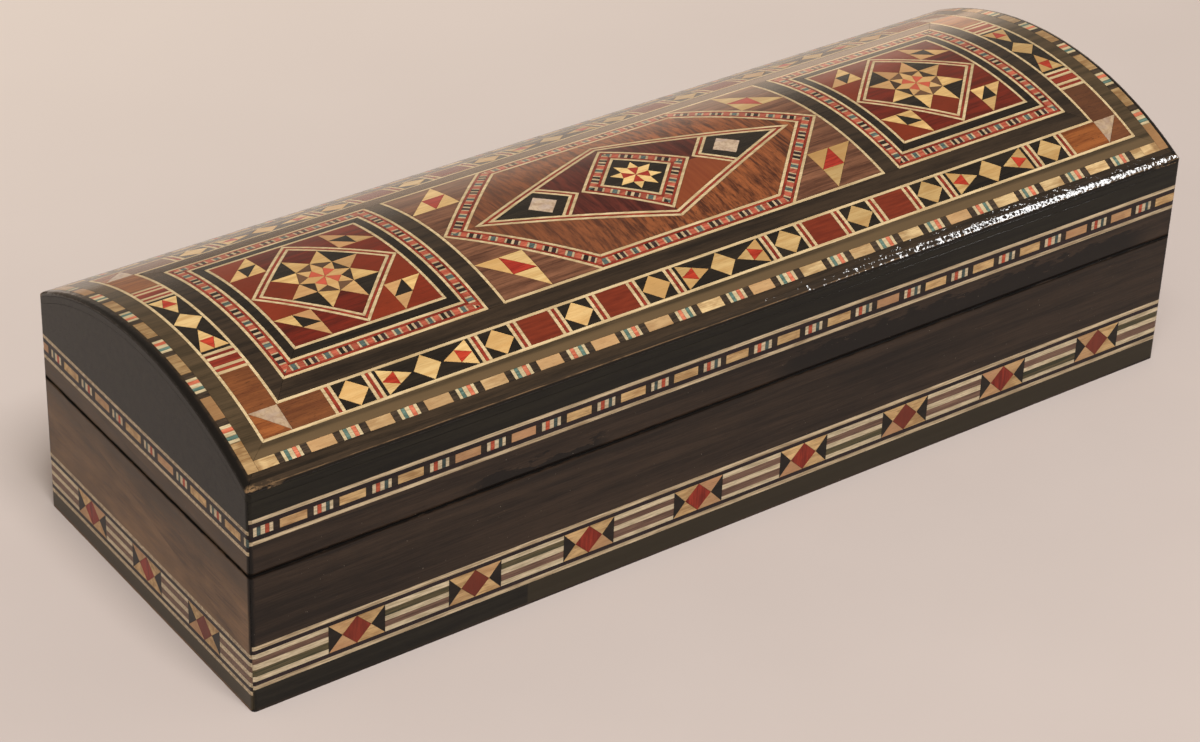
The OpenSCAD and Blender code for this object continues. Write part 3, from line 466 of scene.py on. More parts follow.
give(wood("upper_strip", paint(14, 13, 8), paint(31, 29, 20), streak=(40, 1.8), vary=0.05,
          coat=SIDE_COAT), "lid_upper_strips", "lid_board")
give(wood("plinth_strip", paint(14, 13, 8), paint(33, 30, 22), streak=(40, 1.8), vary=0.05,
          coat=SIDE_COAT, change=browner_strip), "plinth_strips")
give(wood("rim_wood", paint(34, 27, 20), paint(64, 51, 38), streak=(40, 1.8), vary=0.05, ripple=0.085,
          gloss=0.045, wave=(1.7, 1.3, 1.3), change=rim_wear_and_glint), "top_rim_strips")
print("woods so far:", Recipe.count)

# %% [markdown]
# ## Mother of pearl
#
# The pearl pieces are sawn from shell, ground flat and laid in with the wood. Shell is pale, with
# soft clouds of pink and grey, and it shines through its lacquer. Two noises make the clouds, and
# the four corner pieces are a little duller than the squares in the middle.

# %% Pearl
CORNER_PEARLS = 100
r = Recipe("mother_of_pearl")
cloud = r.noise((1.8, 1.8, 1.8), 3, 0.6, warp=1.2)
tint = r.mix(r.ramp(cloud, 0.35, 0.65), paint(176, 150, 126), paint(208, 186, 160))
tint = r.mix(r.ramp(r.noise((3, 2, 2), 2, seed=3.3), 0.45, 0.7, 0, 0.5), tint, paint(192, 174, 168))
tint = r.mix(r.far_out(0, CORNER_PEARLS), tint, r.tinted(tint, paint(232, 226, 216)))
r.set({"Base Color": tint, "Roughness": r.ramp(cloud, 0.3, 0.7, 0.25, 0.4)})
r.lacquer()
give(r, "pearl_pieces")
print("the corner pearls lie further than", CORNER_PEARLS, "mm from the middle")

# %% [markdown]
# ## Fine work, piece by piece
#
# The bands of small blocks are cut from a flat layout and then bent onto the surface that carries
# them. A convex outline is sliced across the direction in which the surface bends, each slice gives
# a left and a right end, and the ends joined up make a closed block that follows the curve. Every
# block is a separate solid with a hair of a gap around it, as inlay has.

# %% Flat outlines
GAP, INLAY_DEPTH = 0.035, 0.8


def corner_pairs(outline):
    """Each corner of an outline with the one after it, all round."""
    return list(zip(outline, outline[1:] + outline[:1]))


def inset(outline, distance):
    """A convex outline pulled inwards along each of its edges."""
    turning = sum(a[0] * b[1] - a[1] * b[0] for a, b in corner_pairs(outline))
    if turning < 0:
        outline = outline[::-1]
    result, count = [], len(outline)
    for i in range(count):
        before, here, after = (Vector(outline[(i + k) % count]) for k in (-1, 0, 1))
        first, second = (here - before).normalized(), (after - here).normalized()
        inward = [Vector((-v.y, v.x)) for v in (first, second)]
        result.append(tuple(here + distance * (inward[0] + inward[1]) / (1 + inward[0].dot(inward[1]))))
    return result


def clip(outline, way, low, high):
    """The part of a convex outline whose distance along way is from low to high."""
    for sign, limit in ((1, low), (-1, -high)):
        kept = []
        for a, b in corner_pairs(outline):
            da, db = (sign * (p[0] * way[0] + p[1] * way[1]) - limit for p in (a, b))
            if da >= 0:
                kept.append(a)
            if da * db < 0:
                t = da / (da - db)
                kept.append((a[0] + t * (b[0] - a[0]), a[1] + t * (b[1] - a[1])))
        outline = kept
        if len(outline) < 3:
            return []
    return outline


print("a square, 1 mm inwards:", inset([(0, 0), (10, 0), (10, 10), (0, 10)], 1))

# %% Closed blocks on a bent surface
def level_ends(outline, level):
    """The lowest and highest first coordinate of a convex outline where its second one is level."""
    found = []
    for (ua, va), (ub, vb) in corner_pairs(outline):
        if abs(va - level) < 1e-7:
            found.append(ua)
        if (va - level) * (vb - level) < 0:
            found.append(ua + (level - va) / (vb - va) * (ub - ua))
    return min(found), max(found)


class BlockWork:
    """A mesh of many closed blocks, each with its own material."""

    def __init__(self, name, finishes, body, replaced):
        self.mesh = bpy.data.meshes.new(name)
        for finish in finishes.values():
            self.mesh.materials.append(finish.material)
        self.kinds = list(finishes)
        self.points, self.faces, self.face_kinds, self.blocks = [], [], [], 0
        self.name, self.body, self.replaced = name, body, replaced

    def add(self, outline, kind, lay, step=1.5, gap=GAP):
        outline = inset(outline, gap)
        lowest, highest = min(p[1] for p in outline), max(p[1] for p in outline)
        if highest - lowest < 0.05:
            return
        levels = {round(p[1], 6) for p in outline}
        steps = max(1, math.ceil((highest - lowest) / step))
        levels |= {round(lowest + (highest - lowest) * k / steps, 6) for k in range(1, steps)}
        levels = sorted(levels)
        levels = [v for i, v in enumerate(levels) if i == 0 or v - levels[i - 1] > 1e-4]
        rows = []
        for level in levels:
            low, high = level_ends(outline, min(max(level, lowest), highest))
            ends = [low] if high - low < 1e-5 else [low, high]
            rows.append([[self.point(lay(u, level, depth)) for depth in (0, INLAY_DEPTH)] for u in ends])
        kind = self.kinds.index(kind)
        for row, flip in ((rows[0], True), (rows[-1], False)):
            if len(row) == 2:
                self.face([row[0][0], row[1][0], row[1][1], row[0][1]], kind, flip)
        for a, b in zip(rows, rows[1:]):
            for layer in (0, 1):
                self.face([ends[layer] for ends in (*a, *b[::-1])], kind, layer == 1)
            for side in (0, -1):
                self.face([a[side][0], b[side][0], b[side][1], a[side][1]], kind, side == -1)
        self.blocks += 1

    def point(self, place):
        self.points.append([v * MM for v in place])
        return len(self.points) - 1

    def face(self, corners, kind, flip):
        self.faces.append(corners[::-1] if flip else corners)
        self.face_kinds.append(kind)

    def finish(self):
        self.mesh.from_pydata(self.points, [], self.faces)
        self.mesh.polygons.foreach_set("material_index", self.face_kinds)
        self.mesh.validate()
        piece = put_in_scene(self.name, self.mesh)
        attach(piece, self.body)
        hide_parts(self.replaced)
        print(self.name, "holds", self.blocks, "blocks")
        return piece


# %% [markdown]
# ## The surfaces that carry the blocks
#
# The lid is part of a cylinder, so a flat layout wraps onto it without stretching. The sides are
# flat apart from their rounded corners. Each surface is a function from a place in the flat layout
# and a depth under the skin to a point in space, so the block maker needs to know nothing else.

# %% Surfaces
DOME_RADIUS = (HALF_DEPTH ** 2 + DOME_RISE ** 2) / (2 * DOME_RISE)
DOME_AXIS = BOX_HEIGHT - DOME_RADIUS
SHIFT_RIGHT, SHIFT_BACK = 0.3, 0.5
CORNER = 1.0
LONG_SIDES = ("front", "back")
SIDES = (*LONG_SIDES, "left", "right")


def on_dome(u, v, depth):
    """The layout sits a hair to the right and to the back, as the hand laid it."""
    angle, radius = (v + SHIFT_BACK) / DOME_RADIUS, DOME_RADIUS - depth
    return u + SHIFT_RIGHT, radius * math.sin(angle), DOME_AXIS + radius * math.cos(angle)


def around_corner(u, half):
    """A place along a side that turns into its rounded corners: distance along it and inwards."""
    flat = half - CORNER
    turn = (abs(u) - flat) / CORNER
    if turn <= 0:
        return u, 0.0, 0.0, 1.0
    turn = min(turn, math.pi / 4)
    sign = math.copysign(1, u)
    return (sign * (flat + CORNER * math.sin(turn)), CORNER * (1 - math.cos(turn)),
            -sign * math.sin(turn), math.cos(turn))


def on_side(facing):
    """facing is front, back, left or right; the result lays (height, distance along) on that side."""
    half, out = (HALF_LENGTH, HALF_DEPTH) if facing in LONG_SIDES else (HALF_DEPTH, HALF_LENGTH)
    sign = -1 if facing in ("front", "left") else 1

    def lay(height, along, depth):
        x, y, shift, inward = around_corner(along, half)
        first, second = x + depth * shift, sign * (out - y - depth * inward)
        if facing in LONG_SIDES:
            return first, second, height
        return second, first, height
    return lay


def side_reach(facing):
    half = HALF_LENGTH if facing in LONG_SIDES else HALF_DEPTH
    return half - CORNER + CORNER * math.pi / 4


print("dome radius in mm:", round(DOME_RADIUS, 3))

# %% [markdown]
# ## Finishes for the fine work
#
# The dyed slices are teal and salmon, between whitish ones. They get the same wood recipe, with a
# short grain, so that no slice is one flat colour.

# %% Finishes of the slices
def slice_wood(name, deep, pale, vary=0.1, coat=0.9):
    return wood(name, deep, pale, streak=(4, 0.5), vary=vary, coat=coat)


END_BLOCKS = HALF_LENGTH - 5.5


def duller_ends(r, colour):
    """The blocks along the two ends of the lid are duller than the long rows."""
    return r.mix(r.far_out(0, END_BLOCKS, 0.5), colour, r.tinted(colour, paint(206, 196, 188)))


slices = {
    "block": wood("boxwood_block", paint(168, 134, 90), paint(222, 194, 144), streak=(5, 1.4),
                  pores=0.25, vary=0.1, other=paint(186, 146, 102), change=duller_ends),
    "dark": slice_wood("dark_slice", paint(40, 33, 27), paint(76, 62, 48), vary=0.22),
    "white": slice_wood("white_slice", paint(184, 166, 128), paint(214, 196, 158), vary=0.06),
    "teal": slice_wood("teal_slice", paint(70, 96, 88), paint(110, 138, 126)),
    "salmon": slice_wood("salmon_slice", paint(186, 92, 66), paint(222, 134, 102)),
    "black": slice_wood("black_slice", paint(26, 22, 20), paint(46, 38, 32), vary=0.2),
    "plum": slice_wood("plum_slice", paint(46, 30, 32), paint(72, 52, 50), vary=0.2),
}
side_slices = {
    "block": wood("side_block", paint(166, 130, 86), paint(218, 184, 132), streak=(5, 1.4), pores=0.3,
                  vary=0.1, other=paint(176, 132, 98), coat=SIDE_COAT),
    "dark": slice_wood("side_dark_slice", paint(28, 23, 19), paint(54, 43, 34), 0.22, SIDE_COAT),
    "white": slice_wood("side_white_slice", paint(176, 160, 130), paint(222, 206, 176), 0.06, SIDE_COAT),
    "teal": slice_wood("side_teal_slice", paint(46, 60, 60), paint(80, 98, 94), 0.15, SIDE_COAT),
    "salmon": slice_wood("side_salmon_slice", paint(150, 58, 40), paint(200, 98, 68), 0.12, SIDE_COAT),
}
inlays = {
    "block": side_slices["block"],
    "black": wood("side_black", paint(20, 16, 13), paint(36, 29, 23), vary=0.15, coat=SIDE_COAT),
    "red": wood("red_square", paint(104, 28, 18), paint(156, 52, 34), along=ALONG_Z, streak=(8, 0.9),
                vary=0.12, other=paint(104, 46, 32), coat=SIDE_COAT),
    "white": side_slices["white"],
    "pink": wood("pink_strip", paint(88, 64, 54), paint(128, 100, 84), streak=(14, 0.5), vary=0.12,
                 coat=SIDE_COAT),
    "green": wood("green_strip", paint(52, 54, 36), paint(100, 88, 62), streak=(14, 0.5), vary=0.14,
                  coat=SIDE_COAT),
}

# %% [markdown]
# ## The block band around the lid's top
#
# Long boxwood blocks take turns with groups of thin slices, and a dark slice stands on both sides of
# each group. The strips along the ends run through and the long ones butt against them, and the
# first and last block of a strip are boxwood, which makes an L at every corner.

# %% Cells of a block band
random.seed(11)
TOP_GROUP = (("dark", 1.5), ("white", 0.75), ("teal", 0.85), ("white", 1.05), ("salmon", 0.95),
             ("white", 0.8), ("dark", 1.6))
TOP_BLOCK, TOP_PITCH, TOP_END_PITCH = 6.1, 13.84, 13.75
TOP_PHASE, TOP_END_PHASE = -108.6, -29.1
CORNER_BLOCK, END_CORNER_BLOCK = 4.8, 7.6


def strip_cells(start, end, long_block, group, phase, pitch):
    """Cells from start to end as (kind, from, to); phase is where one long block starts."""
    cells, at = [], phase - pitch * math.ceil((phase - start) / pitch + 1)
    while at < end:
        length = long_block + random.uniform(-0.25, 0.25)
        cells.append(("block", at, at + length))
        place, turned = at + length, group if random.random() < 0.8 else group[::-1]
        scale = (at + pitch - place) / sum(w for _, w in turned)
        for kind, width in turned:
            cells.append((kind, place, place + width * scale))
            place += width * scale
        at += pitch
    return [(k, max(a, start), min(b, end)) for k, a, b in cells if b > start and a < end]


def lay_cells(work, quad, way, cells, lay, step=1.5):
    for kind, low, high in cells:
        outline = clip(quad, way, low, high)
        if outline:
            work.add(outline, kind, lay, step)


def frame_quads(outer, inner):
    """Four strips between two rectangles given by their half sizes; the end strips run through."""
    quads = []
    for s in (-1, 1):
        quads.append(([(-inner[0], s * outer[1]), (inner[0], s * outer[1]),
                       (inner[0], s * inner[1]), (-inner[0], s * inner[1])], (1, 0)))
        quads.append(([(s * outer[0], -outer[1]), (s * outer[0], outer[1]),
                       (s * inner[0], outer[1]), (s * inner[0], -outer[1])], (0, 1)))
    return quads


# %% The block band, laid
DOME_HALF_ARC = DOME_RADIUS * math.asin(HALF_DEPTH / DOME_RADIUS)
RIM_WIDTH, RIM_END_WIDTH, BLOCK_BAND = 2.95, 1.75, 2.5
block_outer = (HALF_LENGTH - RIM_END_WIDTH, DOME_HALF_ARC - RIM_WIDTH)
block_inner = (block_outer[0] - BLOCK_BAND, block_outer[1] - BLOCK_BAND)
top_kinds = ("block", "dark", "white", "teal", "salmon")
top_blocks = BlockWork("top_blocks", {kind: slices[kind] for kind in top_kinds}, "lid",
                       "top_block_band")
for quad, way in frame_quads(block_outer, block_inner):
    if way[0] == 1:
        phase, pitch, end, corner = TOP_PHASE, TOP_PITCH, block_inner[0], CORNER_BLOCK
    else:
        phase, pitch, end, corner = TOP_END_PHASE, TOP_END_PITCH, block_outer[1], END_CORNER_BLOCK
    cells = strip_cells(-end, end, TOP_BLOCK, TOP_GROUP, phase, pitch)
    edge = end - corner
    cells = [(k, max(a, -edge), min(b, edge)) for k, a, b in cells if b > -edge and a < edge]
    cells = [("block", -end, -edge), *cells, ("block", edge, end)]
    lay_cells(top_blocks, quad, way, cells, on_dome)
top_blocks.finish()

# %% [markdown]
# ## The mosaic strings
#
# A mosaic string is a stick glued up from dyed slices and sliced across, so it is a row of tiny
# blocks in a fixed order. It runs around both side panels, the long six-sided frame and the square
# in its middle. On a slanting frame the blocks are cut square to the frame, not to the box.

# %% The mosaic strings
random.seed(23)
MOSAIC = (("black", 0.93), ("white", 0.66), ("plum", 0.93), ("white", 0.44), ("salmon", 1.46),
          ("white", 0.49), ("teal", 1.03), ("white", 0.49), ("salmon", 1.42), ("white", 0.44))
PANEL_HALF, SIDE_PANEL_MIDDLE = 24.92, 80.23
HEXAGON_TIP, HEXAGON_SHOULDER, SQUARE_HALF = 50.71, 25.79, 14.75
STRING_START, STRING_END = 1.3, 3.0


def framed(outline, start, end):
    """The sides of a frame, one strip each, from start to end inside an outline."""
    outer, inner = corner_pairs(inset(outline, start)), corner_pairs(inset(outline, end))
    return [[*outside, *inside[::-1]] for outside, inside in zip(outer, inner)]


panel = [(-PANEL_HALF, -PANEL_HALF), (PANEL_HALF, -PANEL_HALF), (PANEL_HALF, PANEL_HALF),
         (-PANEL_HALF, PANEL_HALF)]
string_outlines = [[(x + s * SIDE_PANEL_MIDDLE, y) for x, y in panel] for s in (-1, 1)]
string_outlines.append([(HEXAGON_TIP, 0), (HEXAGON_SHOULDER, PANEL_HALF),
                        (-HEXAGON_SHOULDER, PANEL_HALF), (-HEXAGON_TIP, 0),
                        (-HEXAGON_SHOULDER, -PANEL_HALF), (HEXAGON_SHOULDER, -PANEL_HALF)])
string_outlines.append([(SQUARE_HALF, 0), (0, SQUARE_HALF), (-SQUARE_HALF, 0), (0, -SQUARE_HALF)])

string_slices = {
    "white": slice_wood("string_white", paint(172, 150, 116), paint(206, 184, 148), vary=0.08),
    "black": slices["black"], "plum": slices["plum"],
    "teal": slice_wood("string_teal", paint(60, 76, 74), paint(98, 114, 108), vary=0.15),
    "salmon": slice_wood("string_salmon", paint(146, 64, 46), paint(194, 104, 80), vary=0.16),
}
mosaic = BlockWork("mosaic_strings", string_slices, "lid", "frame_mosaic_strings")
for outline in string_outlines:
    for quad in framed(outline, STRING_START, STRING_END):
        a, b = Vector(quad[0]), Vector(quad[1])
        way = (b - a).normalized()
        at, end = a.dot(way), b.dot(way)
        number = random.randrange(len(MOSAIC))
        while at < end:
            kind, width = MOSAIC[number % len(MOSAIC)]
            width *= random.uniform(0.88, 1.12)
            piece = clip(quad, way, at, min(at + width, end))
            if piece:
                mosaic.add(piece, kind, on_dome, step=2.0, gap=0.02)
            at += width
            number += 1
mosaic.finish()

# %% [markdown]
# ## The lid's side band
#
# The same game of blocks and slices goes around the lid's sides, between two plum lines. Here the
# layout has the height first, so that the blocks are sliced along the band and can turn with the
# rounded corners.

# %% The lid's side band
random.seed(37)
LID_GROUP = (("dark", 1.35), ("white", 0.8), ("salmon", 0.9), ("white", 0.95), ("teal", 0.8),
             ("white", 0.75), ("dark", 1.35))
LID_BLOCK, LID_PITCH, LID_END_PITCH = 6.2, 13.9, 13.55
LID_PHASE, LID_END_PHASE = -117.7, -40.6
LID_CORE = (TRAY_HEIGHT + 9.5, TRAY_HEIGHT + 11.7, TRAY_HEIGHT + 7, TRAY_HEIGHT + 9)


def core_of(facing, low_long, high_long, low_end, high_end):
    """The heights between which a band's core runs on one side; it lies lower at the two ends."""
    return (low_long, high_long) if facing in LONG_SIDES else (low_end, high_end)


lid_blocks = BlockWork("lid_blocks", side_slices, "lid", "lid_pattern_strips")
for facing in SIDES:
    low, high = core_of(facing, *LID_CORE)
    reach = side_reach(facing)
    long_side = facing in LONG_SIDES
    phase, pitch = (LID_PHASE, LID_PITCH) if long_side else (LID_END_PHASE, LID_END_PITCH)
    quad = [(low, -reach), (high, -reach), (high, reach), (low, reach)]
    cells = strip_cells(-reach, reach, LID_BLOCK, LID_GROUP, phase, pitch)
    lay_cells(lid_blocks, quad, (0, 1), cells, on_side(facing), step=0.8)
lid_blocks.finish()

# %% [markdown]
# ## The tray's band
#
# Squares stand on their corners between pairs of black triangles, with light triangles around them.
# Between these figures lie five long strips: light, pinkish brown, a wider light one, pinkish brown
# and light again. Some of the brown ones are greenish, none are quite even, and the first figure of
# each side came out a little wider than the rest.

# %% The tray's band
random.seed(5)
tray_blocks = BlockWork("tray_blocks", inlays, "tray", "tray_pattern_strips")
STRIPS = (("white", 0.165), ("pink", 0.245), ("white", 0.187), ("pink", 0.23), ("white", 0.173))
GREEN_SHARE = 0.25
TRAY_CORE = (7.7, 14.7, 6.2, 12.6)
FIRST_FIGURE, FIGURE_PITCH, FIGURE_WIDTH = -99.9, 29.3, 13.2
END_FIGURE_PITCH, END_FIGURE_WIDTH = 24.2, 12.4


def figure(work, lay, middle, low, high, width):
    """One square on its corner with its triangles, in (height, distance along)."""
    half, centre = (high - low) / 2, (low + high) / 2
    for s in (-1, 1):
        end = middle + s * width / 2
        tip = middle + s * half
        work.add([(low, end), (high, end), (centre, tip)], "black", lay)
        for edge in (low, high):
            work.add([(edge, middle), (edge, end), (centre, tip)], "block", lay)
    work.add([(low, middle), (centre, middle + half), (high, middle), (centre, middle - half)],
             "red", lay)


for facing in SIDES:
    low, high = core_of(facing, *TRAY_CORE)
    reach = side_reach(facing)
    lay = on_side(facing)
    if facing in LONG_SIDES:
        middles, width = [FIRST_FIGURE + FIGURE_PITCH * k for k in range(8)], FIGURE_WIDTH
    else:
        middles, width = [-END_FIGURE_PITCH, 0, END_FIGURE_PITCH], END_FIGURE_WIDTH
    widths = [width + random.uniform(-0.1, 0.9) * (m == middles[0]) for m in middles]
    edges = [-reach] + [m + s * w / 2 for m, w in zip(middles, widths) for s in (-1, 1)] + [reach]
    for middle, wide in zip(middles, widths):
        figure(tray_blocks, lay, middle, low, high, wide)
    for start, end in zip(edges[::2], edges[1::2]):
        bottom, step = low, 0.8 if max(abs(start), abs(end)) == reach else 200
        uneven = [share * random.uniform(0.85, 1.15) for _, share in STRIPS]
        for (kind, _), share in zip(STRIPS, uneven):
            top = bottom + share / sum(uneven) * (high - low)
            kind = "green" if kind == "pink" and random.random() < GREEN_SHARE else kind
            tray_blocks.add([(bottom, start), (top, start), (top, end), (bottom, end)], kind, lay,
                            step, gap=0.03)
            bottom = top
tray_blocks.finish()

# %% [markdown]
# ## Velvet
#
# The inside is lined. Velvet is a pile of short hairs, which look dark from above and pale along
# their edges, and the sheen of the shader does just that.

# %% Velvet
SHEEN = 0.4
velvet = Recipe("velvet")
pile = velvet.noise((0.35, 0.35, 0.35), 3, 0.7, per_island=0)
lay_of_pile = velvet.noise((16, 16, 16), 3, 0.5, per_island=0, seed=1.9)
tint = velvet.mix(velvet.ramp(lay_of_pile, 0.35, 0.65), paint(92, 18, 24), paint(126, 30, 36))
tint = velvet.mix(velvet.ramp(pile, 0.35, 0.65, 0, 0.5), tint, paint(70, 12, 18))
velvet.set({"Base Color": tint, "Roughness": 0.9, "Sheen Weight": SHEEN, "Sheen Roughness": 0.35,
            "Sheen Tint": (1, 0.6, 0.6, 1), "Normal": velvet.bump(pile, 0.15, 0.8)})
print("sheen of the pile:", SHEEN)

# %% [markdown]
# ## The four sheets of the lining
#
# The lining is cut from velvet about a millimetre thick: one sheet lies on the base board, one strip
# goes round the tray's walls, one strip round the lid's walls, and one sheet is stretched under the
# curved board. Each is a closed sheet whose face swells a little between its edges, where it is
# pulled down and turned under, and waves a little where the glue took it unevenly.

# %% A sheet of velvet
WALL, GLUE, HAIR, BASE_TOP, VELVET, EDGE = 7.0, 0.1, 0.02, 4.03, 1.0, 1.6
ROOM_X, ROOM_Y = HALF_LENGTH - WALL - GLUE, HALF_DEPTH - WALL - GLUE
SEAM_MARGIN = 2.5
LINING_LOW, LINING_HIGH = 5.05, TRAY_HEIGHT - SEAM_MARGIN
LID_LINING_LOW = TRAY_HEIGHT + SEAM_MARGIN
LINING_RADIUS = DOME_RADIUS - 3.55


def spread(k, count):
    """Steps from 0 to 1 that are finer towards both ends, where a sheet rounds over."""
    return (1 - math.cos(math.pi * k / count)) / 2


def velvet_sheet(name, across, along, lay, body, replaced, grid, around=False, **cloth):
    """A closed sheet; lay(u, v, rise) gives a point, with u and v from 0 to 1 and rise in mm."""
    wave = random.Random(name)
    shifts = [wave.uniform(0, 6.28) for _ in range(4)]
    (count_u, count_v), points = grid, []
    for top in (False, True):
        for i in range(count_u + 1):
            for j in range(count_v + 1):
                u, v = spread(i, count_u), j / count_v if around else spread(j, count_v)
                from_edge = min(u * across, (1 - u) * across, v * along, (1 - v) * along)
                edge = min(1.0, from_edge / EDGE)
                swell = math.sqrt(1 - (1 - edge) ** 2)
                a, b = u * across, v * along
                ripple = 0.05 * (math.sin(a / 9 + shifts[0]) * math.sin(b / 13 + shifts[1])
                                 + math.sin(a / 4 + shifts[2] + b / 21 + shifts[3]) - 2)
                rise = VELVET * (0.25 + 0.65 * swell) + ripple if top else HAIR
                points.append([c * MM for c in lay(u, v, rise)])
    row, layer = count_v + 1, (count_u + 1) * (count_v + 1)
    faces = []
    for i in range(count_u):
        for j in range(count_v):
            a, b, c, d = i * row + j, (i + 1) * row + j, (i + 1) * row + j + 1, i * row + j + 1
            faces += [(a, d, c, b), (a + layer, b + layer, c + layer, d + layer)]
    rims = [(i * row + j, (i + 1) * row + j, j > 0) for i in range(count_u) for j in (0, count_v)]
    rims += [(i * row + j, i * row + j + 1, i == 0) for j in range(count_v) for i in (0, count_u)]
    for a, b, flip in rims:
        faces.append((b, a, a + layer, b + layer) if flip else (a, b, b + layer, a + layer))
    mesh = bpy.data.meshes.new(name)
    mesh.from_pydata(points, [], faces)
    mesh.validate()
    mesh.materials.append(velvet.material)
    mesh.polygons.foreach_set("use_smooth", [True] * len(mesh.polygons))
    piece = put_in_scene(name, mesh)
    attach(piece, body)
    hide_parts(replaced)
    print(name, "is cut", round(across, 1), "by", round(along, 1), "mm")
    return piece


# %% The sheet on the tray's floor
def on_floor(u, v, rise):
    return (2 * u - 1) * (ROOM_X - GLUE), (2 * v - 1) * (ROOM_Y - GLUE), BASE_TOP + rise


velvet_sheet("tray_floor_velvet", 2 * ROOM_X, 2 * ROOM_Y, on_floor, "tray", "tray_floor_lining",
             grid=(118, 38), held="laid", rests_on=["base_board"])

# %% [markdown]
# ## The strips round the walls
#
# One strip goes once round each room and is folded into its corners. Near a corner its face stops
# as far from the next wall as it rises, so that two faces meet and don't cut through each other.
# The lid's strip ends higher where the dome is higher.

# %% The strips round the walls
def round_the_room(t, rise):
    """A place on the inside of the four walls; t goes once round from 0 to 1."""
    sides = [2 * ROOM_X, 2 * ROOM_Y, 2 * ROOM_X, 2 * ROOM_Y]
    at = t * sum(sides)
    corners = [(-ROOM_X, -ROOM_Y), (ROOM_X, -ROOM_Y), (ROOM_X, ROOM_Y), (-ROOM_X, ROOM_Y)]
    ways = [(1, 0), (0, 1), (-1, 0), (0, -1)]
    for side, corner, way in zip(sides, corners, ways):
        if at <= side + 1e-9:
            break
        at -= side
    inward = (-way[1], way[0])
    at = min(max(at, rise), side - rise)
    return corner[0] + way[0] * at + inward[0] * rise, corner[1] + way[1] * at + inward[1] * rise


def on_tray_walls(u, v, rise):
    x, y = round_the_room(v, rise)
    return x, y, LINING_LOW + u * (LINING_HIGH - LINING_LOW)


ROUND = 4 * (ROOM_X + ROOM_Y)
velvet_sheet("tray_wall_velvet", LINING_HIGH - LINING_LOW, ROUND, on_tray_walls, "tray",
             "tray_wall_linings", around=True, grid=(18, 300), held="stretched",
             rests_on=[f"tray_{side}_wall" for side in SIDES])


def under_dome(y):
    return DOME_AXIS + math.sqrt(LINING_RADIUS ** 2 - y * y) - GLUE


def on_lid_walls(u, v, rise):
    x, y = round_the_room(v, rise)
    return x, y, LID_LINING_LOW + u * (under_dome(y) - LID_LINING_LOW)


rises = [under_dome(round_the_room(k / 400, 0)[1]) - LID_LINING_LOW for k in range(400)]
lid_wall_area = ROUND * sum(rises) / len(rises) * MM ** 2
velvet_sheet("lid_wall_velvet", max(rises), ROUND, on_lid_walls, "lid", "lid_wall_linings",
             around=True, grid=(16, 300), held="stretched", area=lid_wall_area,
             rests_on=[f"lid_{side}_wall" for side in SIDES])

# %% The sheet under the dome
ROOF_RADIUS = LINING_RADIUS + VELVET
ROOF_HALF_ANGLE = math.asin((ROOM_Y - GLUE) / ROOF_RADIUS)


def under_board(u, v, rise):
    angle = (2 * u - 1) * ROOF_HALF_ANGLE
    radius = ROOF_RADIUS - HAIR - rise
    x = (1 - 2 * v) * (ROOM_X - GLUE)
    return x, radius * math.sin(angle), DOME_AXIS + radius * math.cos(angle)


velvet_sheet("lid_dome_velvet", 2 * ROOF_HALF_ANGLE * ROOF_RADIUS, 2 * ROOM_X, under_board, "lid",
             "lid_dome_lining", grid=(40, 118), held="stretched", rests_on=["lid_board"])

# %% [markdown]
# ## Brass
#
# The small hinges are rolled brass. Brass that nobody polishes turns brown in patches, and the
# patches are duller than the bare metal.

# %% Brass
r = Recipe("brass")
patches = r.noise((3.5, 2.5, 2.5), 4, 0.6)
scratches = r.noise((4, 0.15, 0.15), 2, seed=4.4)
tint = r.mix(r.ramp(patches, 0.42, 0.62), paint(206, 166, 92), paint(138, 100, 52))
r.set({"Base Color": tint, "Metallic": 1, "Roughness": r.ramp(patches, 0.35, 0.65, 0.26, 0.5),
       "Normal": r.bump(scratches, 0.01, 0.6)})
give(r, "left_hinge_tray_leaf", "right_hinge_tray_leaf", "hinge_pins", "tray_hinge_nails",
     "left_hinge_lid_leaf", "right_hinge_lid_leaf", "lid_hinge_nails")
print("finishes of the box:", Recipe.count)

# %% [markdown]
# ## The floor
#
# The box stands on a plain pale floor, painted paler towards the back as a painted pool of light. It
# ends behind the box, so that the lacquer mirrors the low sky there and not the floor.

# %% Floor
floor_mesh = bpy.data.meshes.new("floor")
REACH, REACH_BACK = 1.5, 0.75
floor_mesh.from_pydata([(-REACH, -REACH, 0), (REACH, -REACH, 0), (REACH, REACH_BACK, 0),
                        (-REACH, REACH_BACK, 0)], [], [(0, 1, 2, 3)])
floor = put_in_scene("floor", floor_mesh)
r = Recipe("pale_floor_painted_light")
shade = r.mix(r.noise((60, 60, 60), 3, per_island=0), paint(203, 192, 188), paint(210, 199, 195))
# Painted light: the floor is painted paler towards the back, where more light falls.
shade = r.mix(r.ramp(r.axis(1), -50, 600), shade, paint(252, 240, 230))
r.set({"Base Color": shade, "Roughness": 0.9})
floor_mesh.materials.append(r.material)
print("the floor ends", REACH_BACK, "m behind the middle of the box")

# %% [markdown]
# ## The sky
#
# The lacquer shows the sky as a haze where the lid curves away, which is most of what tells the eye
# that the box is varnished. So the sky is warm and soft, and has one brighter card that stands low
# at the back right.

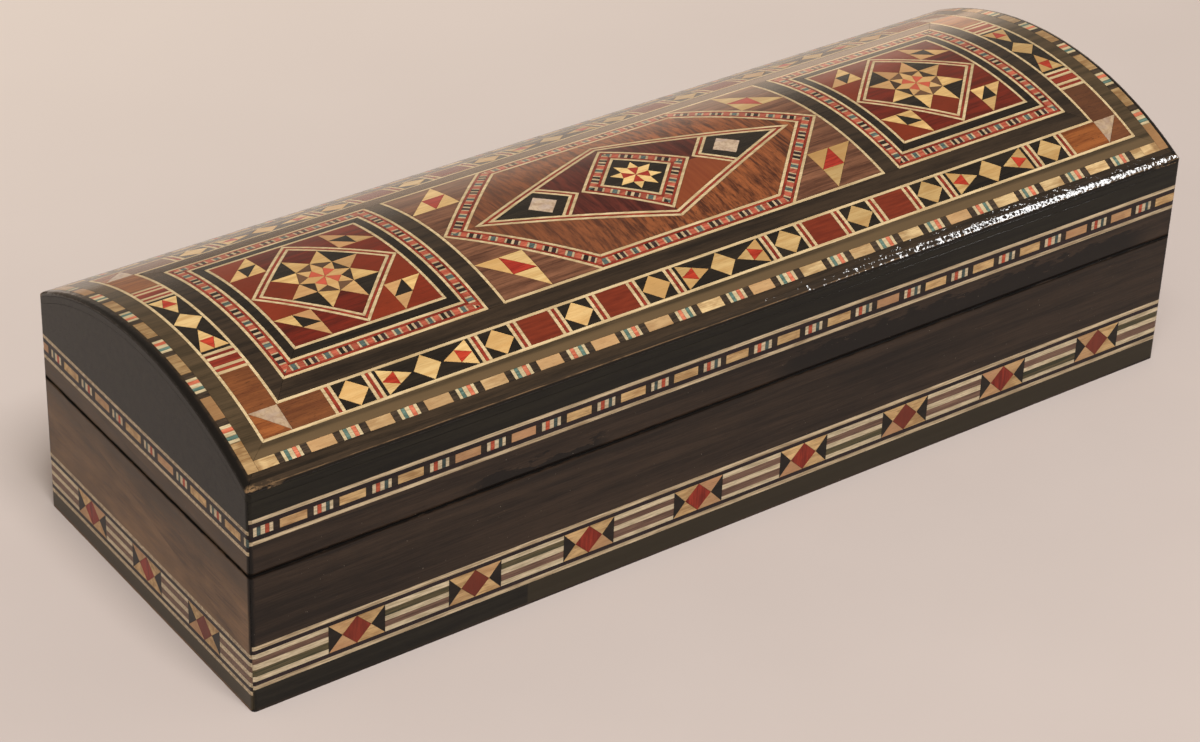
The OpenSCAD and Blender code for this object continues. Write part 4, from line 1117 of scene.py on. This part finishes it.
# %% Sky
CARD_WAY = (0.751, 0.66, 0)
world = bpy.data.worlds.new("sky")
world.use_nodes = True
sky = Nodes(world.node_tree)
way = sky.node("TexCoord", output="Generated")
level = sky.node("SeparateXYZ", {0: way}, output=2)
toward = sky.node("VectorMath", {0: way, 1: CARD_WAY}, output="Value", operation="DOT_PRODUCT")
low_card = sky.math("ADD", sky.ramp(level, 0.1, 0.45, 0.85, 0), sky.ramp(level, -0.02, 0.09, 0.65, 0))
card = sky.times(sky.ramp(toward, 0.895, 0.99), low_card)
glow = sky.mix(sky.ramp(level, -0.05, 0.15, 1, 0), (1, 0.84, 0.68, 1), (1, 0.73, 0.54, 1))
background = sky.tree.nodes["Background"]
sky.put(background.inputs["Strength"], sky.math("ADD", sky.ramp(level, 0, 0.5, 0.5, 0.3), card))
sky.put(background.inputs["Color"], glow)
bpy.context.scene.world = world
print("the sky has", len(sky.tree.nodes), "nodes, and its card stands toward", CARD_WAY)

# %% [markdown]
# ## The lamps
#
# A large soft lamp above gives the soft shadow. It has no reflection, as that would wash the lid
# out. A tall narrow window at the right is there for the gloss alone, and draws a bright line along
# the rounded edge of the lid.

# %% Lamps
def soft_lamp(name, place, aim, size, power, colour, tall):
    """A rectangular lamp at a place in metres; its second side lies along tall."""
    data = bpy.data.lights.new(name, "AREA")
    data.shape = "RECTANGLE"
    data.size, data.size_y = size
    data.energy = power
    data.color = colour
    lamp = put_in_scene(name, data)
    back = (Vector(place) - Vector(aim)).normalized()
    side = Vector(tall).cross(back).normalized()
    lamp.matrix_world = Matrix.Translation(place) @ Matrix(
        (side, back.cross(side), back)).transposed().to_4x4()
    return lamp


overhead = soft_lamp("overhead", (-0.3, -0.9, 2.0), (0, 0, 0), (1.0, 1.0), 43, (1, 0.98, 0.95),
                     (0, 1, 0))
overhead.visible_glossy = False
WINDOW_AIM, WINDOW_WAY = Vector((0.1, -0.04, 0.055)), Vector((0.622, -0.51, 0.594))
window = soft_lamp("window", WINDOW_AIM + 1.4 * WINDOW_WAY, WINDOW_AIM, (0.09, 1.2), 13, (1, 1, 1),
                   (0, 0.74, 0.67))
window.visible_diffuse = False
bpy.context.scene.view_settings.view_transform = "Standard"
print("lamps:", [lamp.name for lamp in bpy.data.lights])
